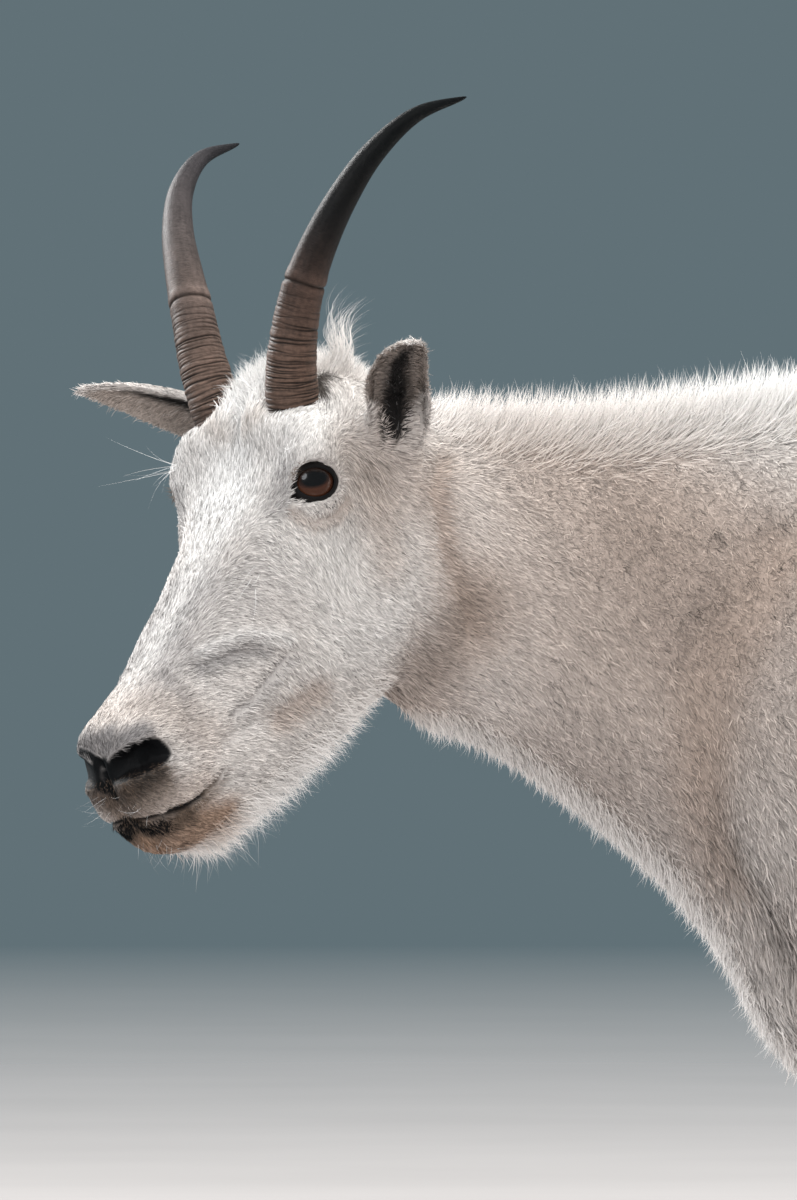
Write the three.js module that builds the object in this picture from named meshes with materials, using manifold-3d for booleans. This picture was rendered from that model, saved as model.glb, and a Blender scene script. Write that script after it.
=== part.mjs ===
// Adult female mountain goat, life size, standing with its head turned to its left.
// Millimetres, +Z up. The body points along -X, its left side is -Y, and the hooves stand on z = 0.
// The origin is the middle of the model's box, on the floor.

import * as THREE from "three";
import { mergeVertices } from "three/addons/utils/BufferGeometryUtils.js";
import Module from "manifold-3d";

const wasm = await Module();
wasm.setup();

// Driving sizes
const seam = 0.3; // gap that touching pieces keep
const headCut = -104; // where the head ends behind the ears, along its own x
const neckCut = -34; // upright plane where the neck meets the torso
const tailCut = 740; // upright plane that parts the tail from the rump
const coronetHeight = 47; // top of the hooves
const eyeRadius = 15.5;
const lidThickness = 2.6;
const hornBaseRadius = 17.5;
const hornRidges = 9;
const hornRidgeHeight = 0.9;
const hornStep = 6; // the ridge that ends in a deeper groove
const earLength = 134;
const earWall = 3.2;
const maneLength = 30;
const tuftLength = 50;
const beardLength = 27;
const lockSunk = 12; // how deep a lock's root stands in the body

const torsoRing = 22;
const neckRing = 20;
const headRing = 28;
const legRing = 12;
const hornRing = 10;
const earRing = 14;

// The head's own frame: +x to the nose along the palate, +y to its left, +z to the crown,
// with its zero midway between the eyes.
const headPlace = {
  at: new THREE.Vector3(-322, -161, 774),
  turn: 221, // heading round +Z: 180 looks along -X, and 41 more turns it to the left
  nod: 30, // palate below level
  tilt: 7, // left side up
};

const colours = {
  coat: 0xe9e2da,
  horn: 0x4a3f38,
  hoof: 0x2b2725,
  eye: 0x2a1710,
};

function finish(name, roughness) {
  return new THREE.MeshStandardMaterial({ color: colours[name], roughness, metalness: 0 });
}

// Closed solids and back

function solidOf(geometry) {
  const bare = geometry.clone();
  for (const name of Object.keys(bare.attributes)) {
    if (name !== "position") bare.deleteAttribute(name);
  }
  const merged = mergeVertices(bare, 1e-3);
  const index = merged.index.array;
  const faces = [];
  for (let i = 0; i < index.length; i += 3) {
    const [a, b, c] = [index[i], index[i + 1], index[i + 2]];
    if (a !== b && b !== c && c !== a) faces.push(a, b, c);
  }
  const mesh = new wasm.Mesh({
    numProp: 3,
    vertProperties: new Float32Array(merged.attributes.position.array),
    triVerts: new Uint32Array(faces),
  });
  return new wasm.Manifold(mesh);
}

function geometryOf(solid) {
  const mesh = solid.getMesh();
  const geometry = new THREE.BufferGeometry();
  const position = new Float32Array(mesh.numVert * 3);
  for (let i = 0; i < mesh.numVert; i++) {
    position.set(mesh.vertProperties.subarray(i * mesh.numProp, i * mesh.numProp + 3), i * 3);
  }
  geometry.setAttribute("position", new THREE.BufferAttribute(position, 3));
  geometry.setIndex(new THREE.BufferAttribute(mesh.triVerts, 1));
  const flat = geometry.toNonIndexed();
  flat.computeVertexNormals();
  return flat;
}

const union = (pieces) => wasm.Manifold.union(pieces);

// The largest closed surface of a solid: a sealed hollow is filled and a loose scrap is dropped.
function largest(solid) {
  return solid.decompose().sort((a, b) => b.volume() - a.volume())[0];
}

function blockBetween(low, high) {
  const size = new THREE.Vector3().subVectors(high, low);
  const geometry = new THREE.BoxGeometry(size.x, size.y, size.z);
  geometry.translate((low.x + high.x) / 2, (low.y + high.y) / 2, (low.z + high.z) / 2);
  return solidOf(geometry);
}

// Lofts

// Even steps from 0 to 1
function steps(count) {
  return Array.from({ length: count + 1 }, (_, i) => i / count);
}

// A function that runs smoothly through a list of stations, each an object of like numbers.
function through(stations) {
  const names = Object.keys(stations[0]).filter((name) => name !== "at");
  const values = stations.flatMap((station) => names.map((name) => station[name]));
  const places = stations.map((_, i) => i);
  const curve = new THREE.CubicInterpolant(places, values, names.length, new Float64Array(names.length));
  return (t) => {
    const found = curve.evaluate(t * (stations.length - 1));
    return Object.fromEntries(names.map((name, i) => [name, found[i]]));
  };
}

const power = (value, exponent) => Math.sign(value) * Math.abs(value) ** exponent;

// A ring in the plane of two unit vectors: half wide, rise above its level, drop below it.
// crown and keel shape the upper and lower half: under 1 is boxy, 1 round, over 1 pinched.
function ringAt(centre, side, up, shape, count) {
  const { half, rise, drop = rise, crown = 1, keel = 1 } = shape;
  return Array.from({ length: count }, (_, i) => {
    const angle = (i / count) * 2 * Math.PI;
    const [c, s] = [Math.cos(angle), Math.sin(angle)];
    const bend = s >= 0 ? crown : keel;
    return centre
      .clone()
      .addScaledVector(side, half * power(c, bend))
      .addScaledVector(up, (s >= 0 ? rise : drop) * power(s, Math.min(bend, 1)));
  });
}

// A closed skin over rings of equal length, drawn in to a point at each end.
function skinOver(rings) {
  const count = rings[0].length;
  const last = rings[rings.length - 1];
  const middle = (ring) => ring.reduce((sum, p) => sum.add(p), new THREE.Vector3()).multiplyScalar(1 / count);
  const ends = [middle(rings[0]), middle(last)];
  const corners = [];
  for (let i = 0; i < count; i++) {
    const j = (i + 1) % count;
    for (let r = 0; r + 1 < rings.length; r++) {
      const [a, b] = [rings[r], rings[r + 1]];
      corners.push(a[i], b[i], a[j], a[j], b[i], b[j]);
    }
    corners.push(rings[0][i], rings[0][j], ends[0]);
    corners.push(last[j], last[i], ends[1]);
  }
  const geometry = new THREE.BufferGeometry().setFromPoints(corners);
  const solid = solidOf(geometry);
  return solid.volume() > 0 ? solid : skinOver(rings.map((ring) => [...ring].reverse()));
}

const axisX = new THREE.Vector3(1, 0, 0);
const axisY = new THREE.Vector3(0, 1, 0);
const axisZ = new THREE.Vector3(0, 0, 1);

// Torso: upright sections along X. level is the height where a section is widest.
const torsoStations = [
  { at: "breast", x: -46, top: 612, level: 575, bottom: 532, half: 28, crown: 0.9, keel: 0.9 },
  { at: "point of shoulder", x: -32, top: 700, level: 590, bottom: 478, half: 58, crown: 1, keel: 0.9 },
  { at: "neck root", x: 0, top: 800, level: 600, bottom: 436, half: 90, crown: 1.2, keel: 0.9 },
  { at: "withers", x: 70, top: 838, level: 600, bottom: 412, half: 118, crown: 1.25, keel: 0.9 },
  { at: "behind withers", x: 160, top: 832, level: 590, bottom: 404, half: 130, crown: 1.2, keel: 0.9 },
  { at: "ribs", x: 270, top: 804, level: 580, bottom: 408, half: 140, crown: 1.0, keel: 0.9 },
  { at: "barrel", x: 380, top: 786, level: 580, bottom: 422, half: 145, crown: 0.9, keel: 0.9 },
  { at: "loin", x: 480, top: 782, level: 600, bottom: 448, half: 138, crown: 0.85, keel: 0.95 },
  { at: "croup", x: 580, top: 780, level: 630, bottom: 492, half: 124, crown: 0.9, keel: 1 },
  { at: "rump", x: 670, top: 752, level: 650, bottom: 540, half: 102, crown: 0.9, keel: 1 },
  { at: "buttock", x: 722, top: 714, level: 645, bottom: 575, half: 64, crown: 0.95, keel: 1 },
  { at: "under tail", x: 738, top: 684, level: 640, bottom: 600, half: 30, crown: 1, keel: 1 },
];

function torsoSolid() {
  const along = through(torsoStations);
  const rings = steps(20).map((t) => {
    const s = along(t);
    const shape = { ...s, rise: s.top - s.level, drop: s.level - s.bottom };
    return ringAt(new THREE.Vector3(s.x, 0, s.level), axisY, axisZ, shape, torsoRing);
  });
  return skinOver(rings);
}

// Neck: each section runs from the crest of the neck (c) to the throat below it (t).
const neckStations = [
  { at: "in the head", cx: -292, cy: -136, cz: 796, tx: -262, ty: -122, tz: 690, half: 38, crown: 1, keel: 1 },
  { at: "poll", cx: -258, cy: -108, cz: 824, tx: -232, ty: -104, tz: 650, half: 56, crown: 0.9, keel: 0.95 },
  { at: "throat", cx: -206, cy: -74, cz: 819, tx: -184, ty: -76, tz: 625, half: 60, crown: 1, keel: 0.95 },
  { at: "mid neck", cx: -140, cy: -40, cz: 805, tx: -118, ty: -42, tz: 582, half: 66, crown: 1.15, keel: 0.95 },
  { at: "low neck", cx: -72, cy: -14, cz: 812, tx: -58, ty: -15, tz: 522, half: 82, crown: 1.25, keel: 0.95 },
  { at: "neck root", cx: 0, cy: 0, cz: 822, tx: 0, ty: 0, tz: 438, half: 102, crown: 1.3, keel: 0.95 },
  { at: "in the chest", cx: 80, cy: 0, cz: 824, tx: 60, ty: 0, tz: 436, half: 114, crown: 1.3, keel: 0.95 },
];

function neckSolid() {
  const along = through(neckStations);
  const ends = (t) => {
    const s = along(t);
    return { crest: new THREE.Vector3(s.cx, s.cy, s.cz), throat: new THREE.Vector3(s.tx, s.ty, s.tz), s };
  };
  const rings = steps(14).map((t) => {
    const { crest, throat, s } = ends(t);
    const [before, after] = [ends(Math.max(0, t - 0.02)), ends(Math.min(1, t + 0.02))];
    const run = after.crest.add(after.throat).sub(before.crest).sub(before.throat).normalize();
    const up = crest.clone().sub(throat).normalize();
    const side = new THREE.Vector3().crossVectors(run, up).normalize();
    const rise = crest.distanceTo(throat) / 2;
    return ringAt(crest.clone().lerp(throat, 0.5), side, up, { ...s, rise }, neckRing);
  });
  return skinOver(rings);
}

// Legs: level sections down the leg. out is the distance from the body's middle plane,
// long is half the size fore and aft, and wide is half the size across.
const foreStations = [
  { at: "shoulder blade", x: 84, out: 46, z: 786, long: 20, wide: 8 },
  { at: "shoulder", x: 56, out: 64, z: 684, long: 94, wide: 42 },
  { at: "upper arm", x: 45, out: 72, z: 592, long: 96, wide: 47 },
  { at: "elbow", x: 72, out: 80, z: 498, long: 72, wide: 41 },
  { at: "forearm", x: 76, out: 84, z: 424, long: 55, wide: 38 },
  { at: "low forearm", x: 74, out: 85, z: 338, long: 37, wide: 31 },
  { at: "knee", x: 67, out: 85, z: 268, long: 34, wide: 32 },
  { at: "under the knee", x: 73, out: 85, z: 222, long: 27, wide: 26 },
  { at: "cannon", x: 76, out: 86, z: 160, long: 25, wide: 23 },
  { at: "fetlock", x: 76, out: 87, z: 100, long: 30, wide: 28 },
  { at: "pastern", x: 67, out: 88, z: 70, long: 29, wide: 28 },
  { at: "coronet", x: 60, out: 89, z: 47, long: 32, wide: 31 },
  { at: "in the hoof", x: 57, out: 89, z: 38, long: 31, wide: 30 },
];

const hindStations = [
  { at: "hip", x: 636, out: 40, z: 744, long: 24, wide: 10 },
  { at: "haunch", x: 644, out: 66, z: 690, long: 82, wide: 40 },
  { at: "thigh", x: 642, out: 76, z: 600, long: 98, wide: 50 },
  { at: "stifle", x: 622, out: 83, z: 512, long: 75, wide: 44 },
  { at: "gaskin", x: 640, out: 85, z: 430, long: 56, wide: 38 },
  { at: "over the hock", x: 682, out: 83, z: 345, long: 36, wide: 28 },
  { at: "hock", x: 704, out: 82, z: 296, long: 36, wide: 29 },
  { at: "under the hock", x: 704, out: 82, z: 244, long: 28, wide: 24 },
  { at: "cannon", x: 697, out: 83, z: 170, long: 25, wide: 23 },
  { at: "fetlock", x: 691, out: 85, z: 102, long: 29, wide: 27 },
  { at: "pastern", x: 678, out: 86, z: 70, long: 28, wide: 27 },
  { at: "coronet", x: 669, out: 87, z: 47, long: 31, wide: 30 },
  { at: "in the hoof", x: 666, out: 87, z: 38, long: 30, wide: 29 },
];

// step moves the foot fore and aft, fading out up to cut, where the leg leaves the torso.
const legs = [
  { name: "foreleg_left", stations: foreStations, side: -1, step: -14, cut: 398 },
  { name: "foreleg_right", stations: foreStations, side: 1, step: 18, cut: 398 },
  { name: "hindleg_left", stations: hindStations, side: -1, step: 14, cut: 454 },
  { name: "hindleg_right", stations: hindStations, side: 1, step: -24, cut: 454 },
];

function stepAt(leg, z) {
  return leg.step * THREE.MathUtils.clamp((leg.cut - z) / (leg.cut - coronetHeight), 0, 1);
}

function legSolid(leg) {
  const along = through(leg.stations);
  const rings = steps(20).map((t) => {
    const s = along(t);
    const centre = new THREE.Vector3(s.x + stepAt(leg, s.z), leg.side * s.out, s.z);
    return ringAt(centre, axisX, axisY, { half: s.long, rise: s.wide }, legRing);
  });
  return skinOver(rings);
}

// Tail: short and flat, hanging close to the rump.
const tailStations = [
  { at: "in the rump", x: 690, z: 712, half: 22, thick: 18 },
  { at: "root", x: 728, z: 706, half: 27, thick: 20 },
  { at: "middle", x: 748, z: 672, half: 29, thick: 19 },
  { at: "low", x: 753, z: 624, half: 23, thick: 15 },
  { at: "tip", x: 750, z: 588, half: 8, thick: 6 },
];

function tailSolid() {
  const along = through(tailStations);
  const rings = steps(9).map((t) => {
    const s = along(t);
    const [a, b] = [along(Math.max(0, t - 0.03)), along(Math.min(1, t + 0.03))];
    const out = new THREE.Vector3(a.z - b.z, 0, b.x - a.x).normalize();
    return ringAt(new THREE.Vector3(s.x, 0, s.z), axisY, out, { half: s.half, rise: s.thick }, 12);
  });
  return skinOver(rings);
}

// Head: upright sections along its own x, with the soft forms of the face added as rounded swells.
const headStations = [
  { at: "nose tip", x: 194.5, top: -85, level: -92, bottom: -99, half: 7, crown: 1, keel: 1 },
  { at: "nose front", x: 193, top: -78, level: -92, bottom: -108, half: 16, crown: 0.9, keel: 0.9 },
  { at: "nose", x: 189, top: -69, level: -92, bottom: -126, half: 24, crown: 0.85, keel: 0.85 },
  { at: "nostrils", x: 180, top: -58, level: -93, bottom: -141, half: 31, crown: 0.78, keel: 0.85 },
  { at: "lips", x: 158, top: -51, level: -94, bottom: -152, half: 35, crown: 0.75, keel: 0.85 },
  { at: "mouth corner", x: 130, top: -44, level: -90, bottom: -153, half: 38, crown: 0.7, keel: 0.9 },
  { at: "nose bridge", x: 98, top: -32, level: -78, bottom: -152, half: 43, crown: 0.68, keel: 0.95 },
  { at: "cheek front", x: 66, top: -18, level: -66, bottom: -151, half: 48, crown: 0.72, keel: 1 },
  { at: "under the eye", x: 34, top: -1, level: -42, bottom: -150, half: 56, crown: 0.76, keel: 1 },
  { at: "eye", x: 4, top: 19, level: -18, bottom: -149, half: 59, crown: 0.78, keel: 1.05 },
  { at: "brow", x: -24, top: 45, level: -6, bottom: -147, half: 60, crown: 0.7, keel: 1.05 },
  { at: "crown", x: -50, top: 50, level: -8, bottom: -145, half: 57, crown: 0.74, keel: 1 },
  { at: "ears", x: -80, top: 39, level: -30, bottom: -146, half: 53, crown: 0.86, keel: 1 },
  { at: "nape", x: -108, top: 16, level: -40, bottom: -120, half: 44, crown: 1, keel: 1 },
  { at: "in the neck", x: -124, top: -16, level: -60, bottom: -95, half: 24, crown: 1, keel: 1 },
];

// Each form swells (or, below zero, hollows) the head round a point on its left side and its twin on the right.
const faceForms = [
  { at: "eye socket", x: -4, y: 56, z: 0, reach: 26, swell: 7 },
  { at: "brow", x: 0, y: 57, z: 16, reach: 22, swell: 11 },
  { at: "tear hollow", x: 38, y: 48, z: -18, reach: 14, swell: -2 },
  { at: "cheekbone", x: 28, y: 52, z: -46, reach: 24, swell: 3 },
  { at: "face crest", x: 70, y: 42, z: -72, reach: 22, swell: 2.5 },
  { at: "cheek hollow", x: 88, y: 38, z: -112, reach: 22, swell: -3.5 },
  { at: "jaw muscle", x: -28, y: 50, z: -98, reach: 40, swell: 6 },
  { at: "temple", x: -44, y: 56, z: 6, reach: 16, swell: -3 },
  { at: "nostril wing", x: 170, y: 26, z: -68, reach: 14, swell: 3 },
  { at: "upper lip", x: 166, y: 32, z: -108, reach: 16, swell: 2.5 },
  { at: "lower lip", x: 172, y: 16, z: -136, reach: 14, swell: 1.5 },
  { at: "lip corner", x: 128, y: 36, z: -130, reach: 12, swell: -2 },
  { at: "parting of the nose", x: 196, y: 0, z: -94, reach: 8, swell: -3 },
];

function headSolid() {
  const along = through(headStations);
  const rings = steps(28).map((t) => {
    const s = along(t ** 1.15);
    const shape = { ...s, rise: s.top - s.level, drop: s.level - s.bottom };
    const centre = new THREE.Vector3(s.x, 0, s.level);
    return ringAt(centre, axisY, axisZ, shape, headRing).map((p) => {
      const out = p.clone().sub(centre).normalize();
      const swell = faceForms.reduce((sum, form) => {
        const away = Math.hypot(p.x - form.x, Math.abs(p.y) - form.y, p.z - form.z) / form.reach;
        return sum + form.swell * Math.exp(-away * away);
      }, 0);
      return p.addScaledVector(out, swell);
    });
  });
  return skinOver(rings);
}

// The line of the mouth: a thin groove from one corner round the front of the lips to the other.
const mouthLine = [
  [196, 0, -107],
  [193, 12, -110],
  [185, 25, -116],
  [171, 33, -121],
  [157, 37, -122],
  [143, 39, -120],
  [132, 39, -115],
];

function mouthGroove() {
  const right = mouthLine.slice(1).reverse();
  const points = [...right.map(([x, y, z]) => [x, -y, z]), ...mouthLine].map((p) => new THREE.Vector3(...p));
  const path = new THREE.CatmullRomCurve3(points);
  const rings = steps(20).map((t) => {
    const out = new THREE.Vector3().crossVectors(path.getTangentAt(t), axisZ).normalize();
    return ringAt(path.getPointAt(t), out, axisZ, { half: 5, rise: 1.5 }, 4);
  });
  return skinOver(rings);
}

// A nostril: a slit that hooks back and up, and runs into the muzzle.
function nostril(side) {
  const centre = new THREE.Vector3(174, side * 22, -84);
  const inward = new THREE.Vector3(-0.68, side * -0.73, -0.05).normalize();
  const back = new THREE.Vector3(-0.8, side * 0.6, 0.05);
  const rings = [
    { depth: -18, half: 20, rise: 7.5 },
    { depth: -5, half: 19, rise: 7 },
    { depth: 6, half: 14, rise: 5 },
    { depth: 12, half: 7, rise: 3 },
  ].map((s) =>
    ringAt(centre.clone().addScaledVector(inward, s.depth), back, axisZ, s, 12).map((p) => {
      const far = p.clone().sub(centre).dot(back) / 20;
      return p.addScaledVector(axisZ, 4 * far);
    }),
  );
  return skinOver(rings);
}

// Eye: a ball, and a lid shell over it with an almond slit along the eye's own line of sight.
const eyeSight = [0.45, 0.87, 0.2];

function eyeCentre(side) {
  return new THREE.Vector3(-6.6, side * 49, -3);
}

function eyeBall(side, radius) {
  const geometry = new THREE.SphereGeometry(radius, 16, 10);
  const centre = eyeCentre(side);
  geometry.translate(centre.x, centre.y, centre.z);
  return solidOf(geometry);
}

// Corners of the lid slit: fore and aft, and up.
const lidLine = [
  [17, -5],
  [12, 3],
  [4, 8.5],
  [-6, 8.5],
  [-12, 1],
  [-8.5, -6.5],
  [0, -9],
  [9, -8.5],
];

function almond(side) {
  const sight = new THREE.Vector3(eyeSight[0], side * eyeSight[1], eyeSight[2]).normalize();
  const fore = new THREE.Vector3(0.93, 0, 0.37);
  fore.addScaledVector(sight, -sight.dot(fore)).normalize();
  const rise = new THREE.Vector3().crossVectors(fore, sight).multiplyScalar(-side);
  const centre = eyeCentre(side);
  const rings = [0, 40].map((far) =>
    lidLine.map(([a, b]) =>
      centre.clone().addScaledVector(sight, far).addScaledVector(fore, a).addScaledVector(rise, b),
    ),
  );
  return skinOver(rings);
}

// Horn: a curve up from the brow, back and out, with growth ridges that end in a deeper groove,
// and a smooth tip.
const hornPath = [
  [-26, 31, 12],
  [-35, 37, 44],
  [-46, 44, 68],
  [-62, 53, 92],
  [-79, 65, 112],
  [-100, 80, 131],
  [-126, 94, 146],
  [-158, 105, 152],
  [-192, 111, 144],
];

const hornPlaces = [
  ...Array.from({ length: 2 * hornRidges }, (_, i) => ({
    s: 0.14 + (0.34 * i) / (2 * hornRidges),
    ridge: i === 2 * hornStep ? -2 * hornRidgeHeight : (i % 2 ? 0.5 : -0.5) * hornRidgeHeight,
  })),
  ...steps(7).map((t) => ({ s: 0.5 + 0.5 * t, ridge: 0 })),
];

function hornSolid(side, grow) {
  const path = new THREE.CatmullRomCurve3(hornPath.map(([x, y, z]) => new THREE.Vector3(x, side * y, z)));
  const rings = [{ s: 0, ridge: 0 }, ...hornPlaces].map(({ s, ridge }) => {
    const run = path.getTangentAt(s);
    const across = new THREE.Vector3().crossVectors(run, new THREE.Vector3(1, 0, 0.4)).normalize();
    const deep = new THREE.Vector3().crossVectors(across, run).normalize();
    const half = hornBaseRadius * (1 - s) ** 0.66 * (1.02 - 0.1 * s) + ridge + grow + 0.4;
    return ringAt(path.getPointAt(s), deep, across, { half, rise: half * 0.9 }, hornRing);
  });
  return skinOver(rings);
}

// Ear: a leaf-shaped body with its front hollowed out into a cup.
const ears = [
  { name: "ear_left", side: 1, lean: [0.22, 0.775, 0.595], face: [0.7, 0.3, -0.62] },
  { name: "ear_right", side: -1, lean: [0.43, -0.53, 0.73], face: [0.9, 0.1, -0.35] },
];
const earRoot = [-74, 50, -14];

// up is a share of the ear's length; back and front reach from the middle of a section.
const earStations = [
  { at: "root", up: -0.1, half: 15, back: 15, front: 14, push: 0 },
  { at: "neck of the ear", up: 0.1, half: 18, back: 17, front: 15, push: 0 },
  { at: "cup", up: 0.3, half: 25, back: 19, front: 11, push: 0 },
  { at: "widest", up: 0.52, half: 27, back: 18, front: 7, push: 0 },
  { at: "narrowing", up: 0.76, half: 20, back: 13, front: 4, push: 2 },
  { at: "near the tip", up: 0.93, half: 10, back: 7, front: 3, push: 6 },
  { at: "tip", up: 1, half: 3, back: 3, front: 2, push: 9 },
];

function earPart(ear, [from, to], shapeOf) {
  const along = new THREE.Vector3(...ear.lean).normalize();
  const open = new THREE.Vector3(...ear.face);
  open.addScaledVector(along, -open.dot(along)).normalize();
  const across = new THREE.Vector3().crossVectors(along, open).normalize();
  const root = new THREE.Vector3(earRoot[0], ear.side * earRoot[1], earRoot[2]);
  const shape = through(earStations);
  const rings = steps(10).map((t) => {
    const s = shape(from + (to - from) * t);
    const centre = root.clone().addScaledVector(along, s.up * earLength).addScaledVector(open, s.push);
    return ringAt(centre, across, open, shapeOf(s), earRing);
  });
  return skinOver(rings);
}

function earSolid(ear) {
  const body = earPart(ear, [0, 1], (s) => ({ half: s.half, rise: s.front, drop: s.back }));
  const cup = earPart(ear, [0.12, 0.94], (s) => {
    const funnel = THREE.MathUtils.clamp(s.up / 0.32, 0.2, 1);
    const wall = Math.min(earWall, s.half * 0.4);
    return { half: (s.half - wall) * funnel, rise: (s.front + 12) * funnel ** 2, drop: (s.back - wall) * funnel };
  });
  return body.subtract(cup);
}

function earSeat(ear) {
  return earPart(ear, [0, 1], (s) => ({ half: s.half + seam, rise: s.front + seam, drop: s.back + seam }));
}

// Foot: two claws side by side under the coronet, and two dewclaws behind the fetlock.
// The outline is one claw from above: toe at -x, its inner side along y = 0.
const clawOutline = [
  [-39, 1],
  [-33, 9],
  [-20, 19],
  [0, 24],
  [18, 23],
  [29, 14],
  [31, 1],
];

const clawStations = [
  { z: 0, grow: 1, shift: -7 },
  { z: 7, grow: 1.02, shift: -6 },
  { z: 28, grow: 0.95, shift: -1 },
  { z: coronetHeight - seam, grow: 0.88, shift: 3 },
];

function footCentre(leg) {
  const coronet = leg.stations.find((s) => s.z === coronetHeight);
  return new THREE.Vector3(coronet.x + leg.step, leg.side * coronet.out, 0);
}

function claw(leg, lateral) {
  const centre = footCentre(leg);
  const rings = clawStations.map(({ z, grow, shift }) =>
    clawOutline.map(([x, y]) => {
      const spread = THREE.MathUtils.clamp((-x - 5) / 34, 0, 1) * 3 * (1 - z / coronetHeight);
      const out = 1 + y * grow + spread;
      return new THREE.Vector3(centre.x + x * grow + shift, centre.y + lateral * out, z);
    }),
  );
  return skinOver(rings);
}

const dewclawStations = [
  { down: -15, radius: 9 },
  { down: -2, radius: 10 },
  { down: 9, radius: 7.5 },
  { down: 16, radius: 3 },
];

function dewclaw(leg, lateral) {
  const centre = footCentre(leg).add(new THREE.Vector3(41, lateral * 13, 84));
  const down = new THREE.Vector3(0.5, lateral * 0.12, -0.86).normalize();
  const across = new THREE.Vector3().crossVectors(down, axisX).normalize();
  const out = new THREE.Vector3().crossVectors(across, down);
  const rings = dewclawStations.map((s) =>
    ringAt(centre.clone().addScaledVector(down, s.down), out, across, { half: s.radius, rise: s.radius }, 8),
  );
  return skinOver(rings);
}

// Locks of hair: flat, tapered and bent, each with its root sunk in the body.

function seeded(seed) {
  let state = seed;
  return () => {
    state = (Math.imul(state, 1664525) + 1013904223) >>> 0;
    return state / 4294967296;
  };
}

const lockShape = [
  { s: 0, width: 1, thick: 1 },
  { s: 0.6, width: 0.9, thick: 0.75 },
  { s: 0.86, width: 0.58, thick: 0.45 },
  { s: 1, width: 0.16, thick: 0.15 },
];

// root stands on the skin, lie is where the hair points, bend is where its end curls to,
// and broad is the flat's own direction.
function lock({ root, lie, bend, broad, length, width, thick }) {
  const run = lie.clone().normalize();
  const flat = broad.clone().addScaledVector(run, -broad.dot(run)).normalize();
  const over = new THREE.Vector3().crossVectors(run, flat);
  const rings = lockShape.map(({ s, width: w, thick: h }) => {
    const far = s * (length + lockSunk) - lockSunk;
    const centre = root.clone().addScaledVector(run, far).addScaledVector(bend, length * s * s);
    return ringAt(centre, flat, over, { half: (w * width) / 2, rise: (h * thick) / 2 }, 4);
  });
  return skinOver(rings);
}

// The mane stands on the crest of the neck and runs out behind the withers.
function maneLocks() {
  const random = seeded(11);
  const crest = new THREE.CatmullRomCurve3([
    ...neckStations.slice(1, 6).map((s) => new THREE.Vector3(s.cx, s.cy, s.cz)),
    ...torsoStations.slice(3, 6).map((s) => new THREE.Vector3(s.x, 0, s.top)),
  ]);
  const count = 20;
  const locks = [];
  for (let i = 0; i < count; i++) {
    for (const hand of [-1, 1]) {
      const t = (i + 0.5 + hand * 0.24 + (random() - 0.5) * 0.2) / count;
      const run = crest.getTangentAt(t);
      const side = new THREE.Vector3().crossVectors(run, axisZ).normalize();
      const fade = 1 - 0.45 * THREE.MathUtils.smoothstep(t, 0.62, 1);
      locks.push(
        lock({
          root: crest.getPointAt(t).addScaledVector(side, hand * 5),
          lie: axisZ.clone().addScaledVector(run, 0.05 + random() * 0.2).addScaledVector(side, hand * 0.15),
          bend: run.clone().multiplyScalar(0.1 + random() * 0.25).addScaledVector(side, hand * 0.1),
          broad: run,
          length: maneLength * fade * (0.85 + random() * 0.3),
          width: 42,
          thick: 13,
        }),
      );
    }
  }
  return locks;
}

// The tuft stands behind the horns, in the head's own frame.
function tuftLocks() {
  const random = seeded(5);
  return steps(11).map((t) => {
    const turn = t * 2.4 * 2 * Math.PI;
    const far = 3 + 13 * Math.sqrt(t);
    const root = new THREE.Vector3(-96 + far * 0.8 * Math.cos(turn), far * Math.sin(turn), 22);
    return lock({
      root,
      lie: new THREE.Vector3(-0.5 - 0.4 * random(), Math.sin(turn) * 0.35, 1),
      bend: new THREE.Vector3(-0.3 * random(), (random() - 0.5) * 0.4, 0.1),
      broad: new THREE.Vector3(0.5, Math.cos(turn), 0),
      length: tuftLength * (1 - 0.45 * t) * (0.85 + random() * 0.3),
      width: 17,
      thick: 9,
    });
  });
}

// The beard fringes the chin and the lower edge of the jaw, longest at its middle.
function beardLocks() {
  const random = seeded(23);
  const locks = [];
  steps(9).forEach((t) => {
    for (const y of [-13, 13]) {
      const x = 152 - 146 * t + (random() - 0.5) * 8;
      const full = 0.4 + 0.6 * Math.sin(Math.PI * Math.min(1, 0.15 + t));
      locks.push(
        lock({
          root: new THREE.Vector3(x, y, -146),
          lie: new THREE.Vector3(-0.55 - 0.35 * random(), y * 0.012, -1),
          bend: new THREE.Vector3(-0.25 * random(), 0, 0.05),
          broad: axisX,
          length: beardLength * full * (0.85 + random() * 0.3),
          width: 30,
          thick: 14,
        }),
      );
    }
  });
  return locks;
}

// Assembly

const headMatrix = new THREE.Matrix4().compose(
  headPlace.at,
  new THREE.Quaternion().setFromEuler(
    new THREE.Euler(
      THREE.MathUtils.degToRad(headPlace.tilt),
      THREE.MathUtils.degToRad(headPlace.nod),
      THREE.MathUtils.degToRad(headPlace.turn),
      "ZYX",
    ),
  ),
  new THREE.Vector3(1, 1, 1),
);
const inHead = (solid) => solid.transform(headMatrix.elements);
const outOfHead = (solid) => solid.transform(headMatrix.clone().invert().elements);

const goat = new THREE.Group();
const head = new THREE.Group();
headMatrix.decompose(head.position, head.quaternion, head.scale);
goat.add(head);

function addNode(parent, name, solid, material) {
  const mesh = new THREE.Mesh(geometryOf(largest(solid)), material);
  mesh.name = name;
  parent.add(mesh);
}

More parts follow.
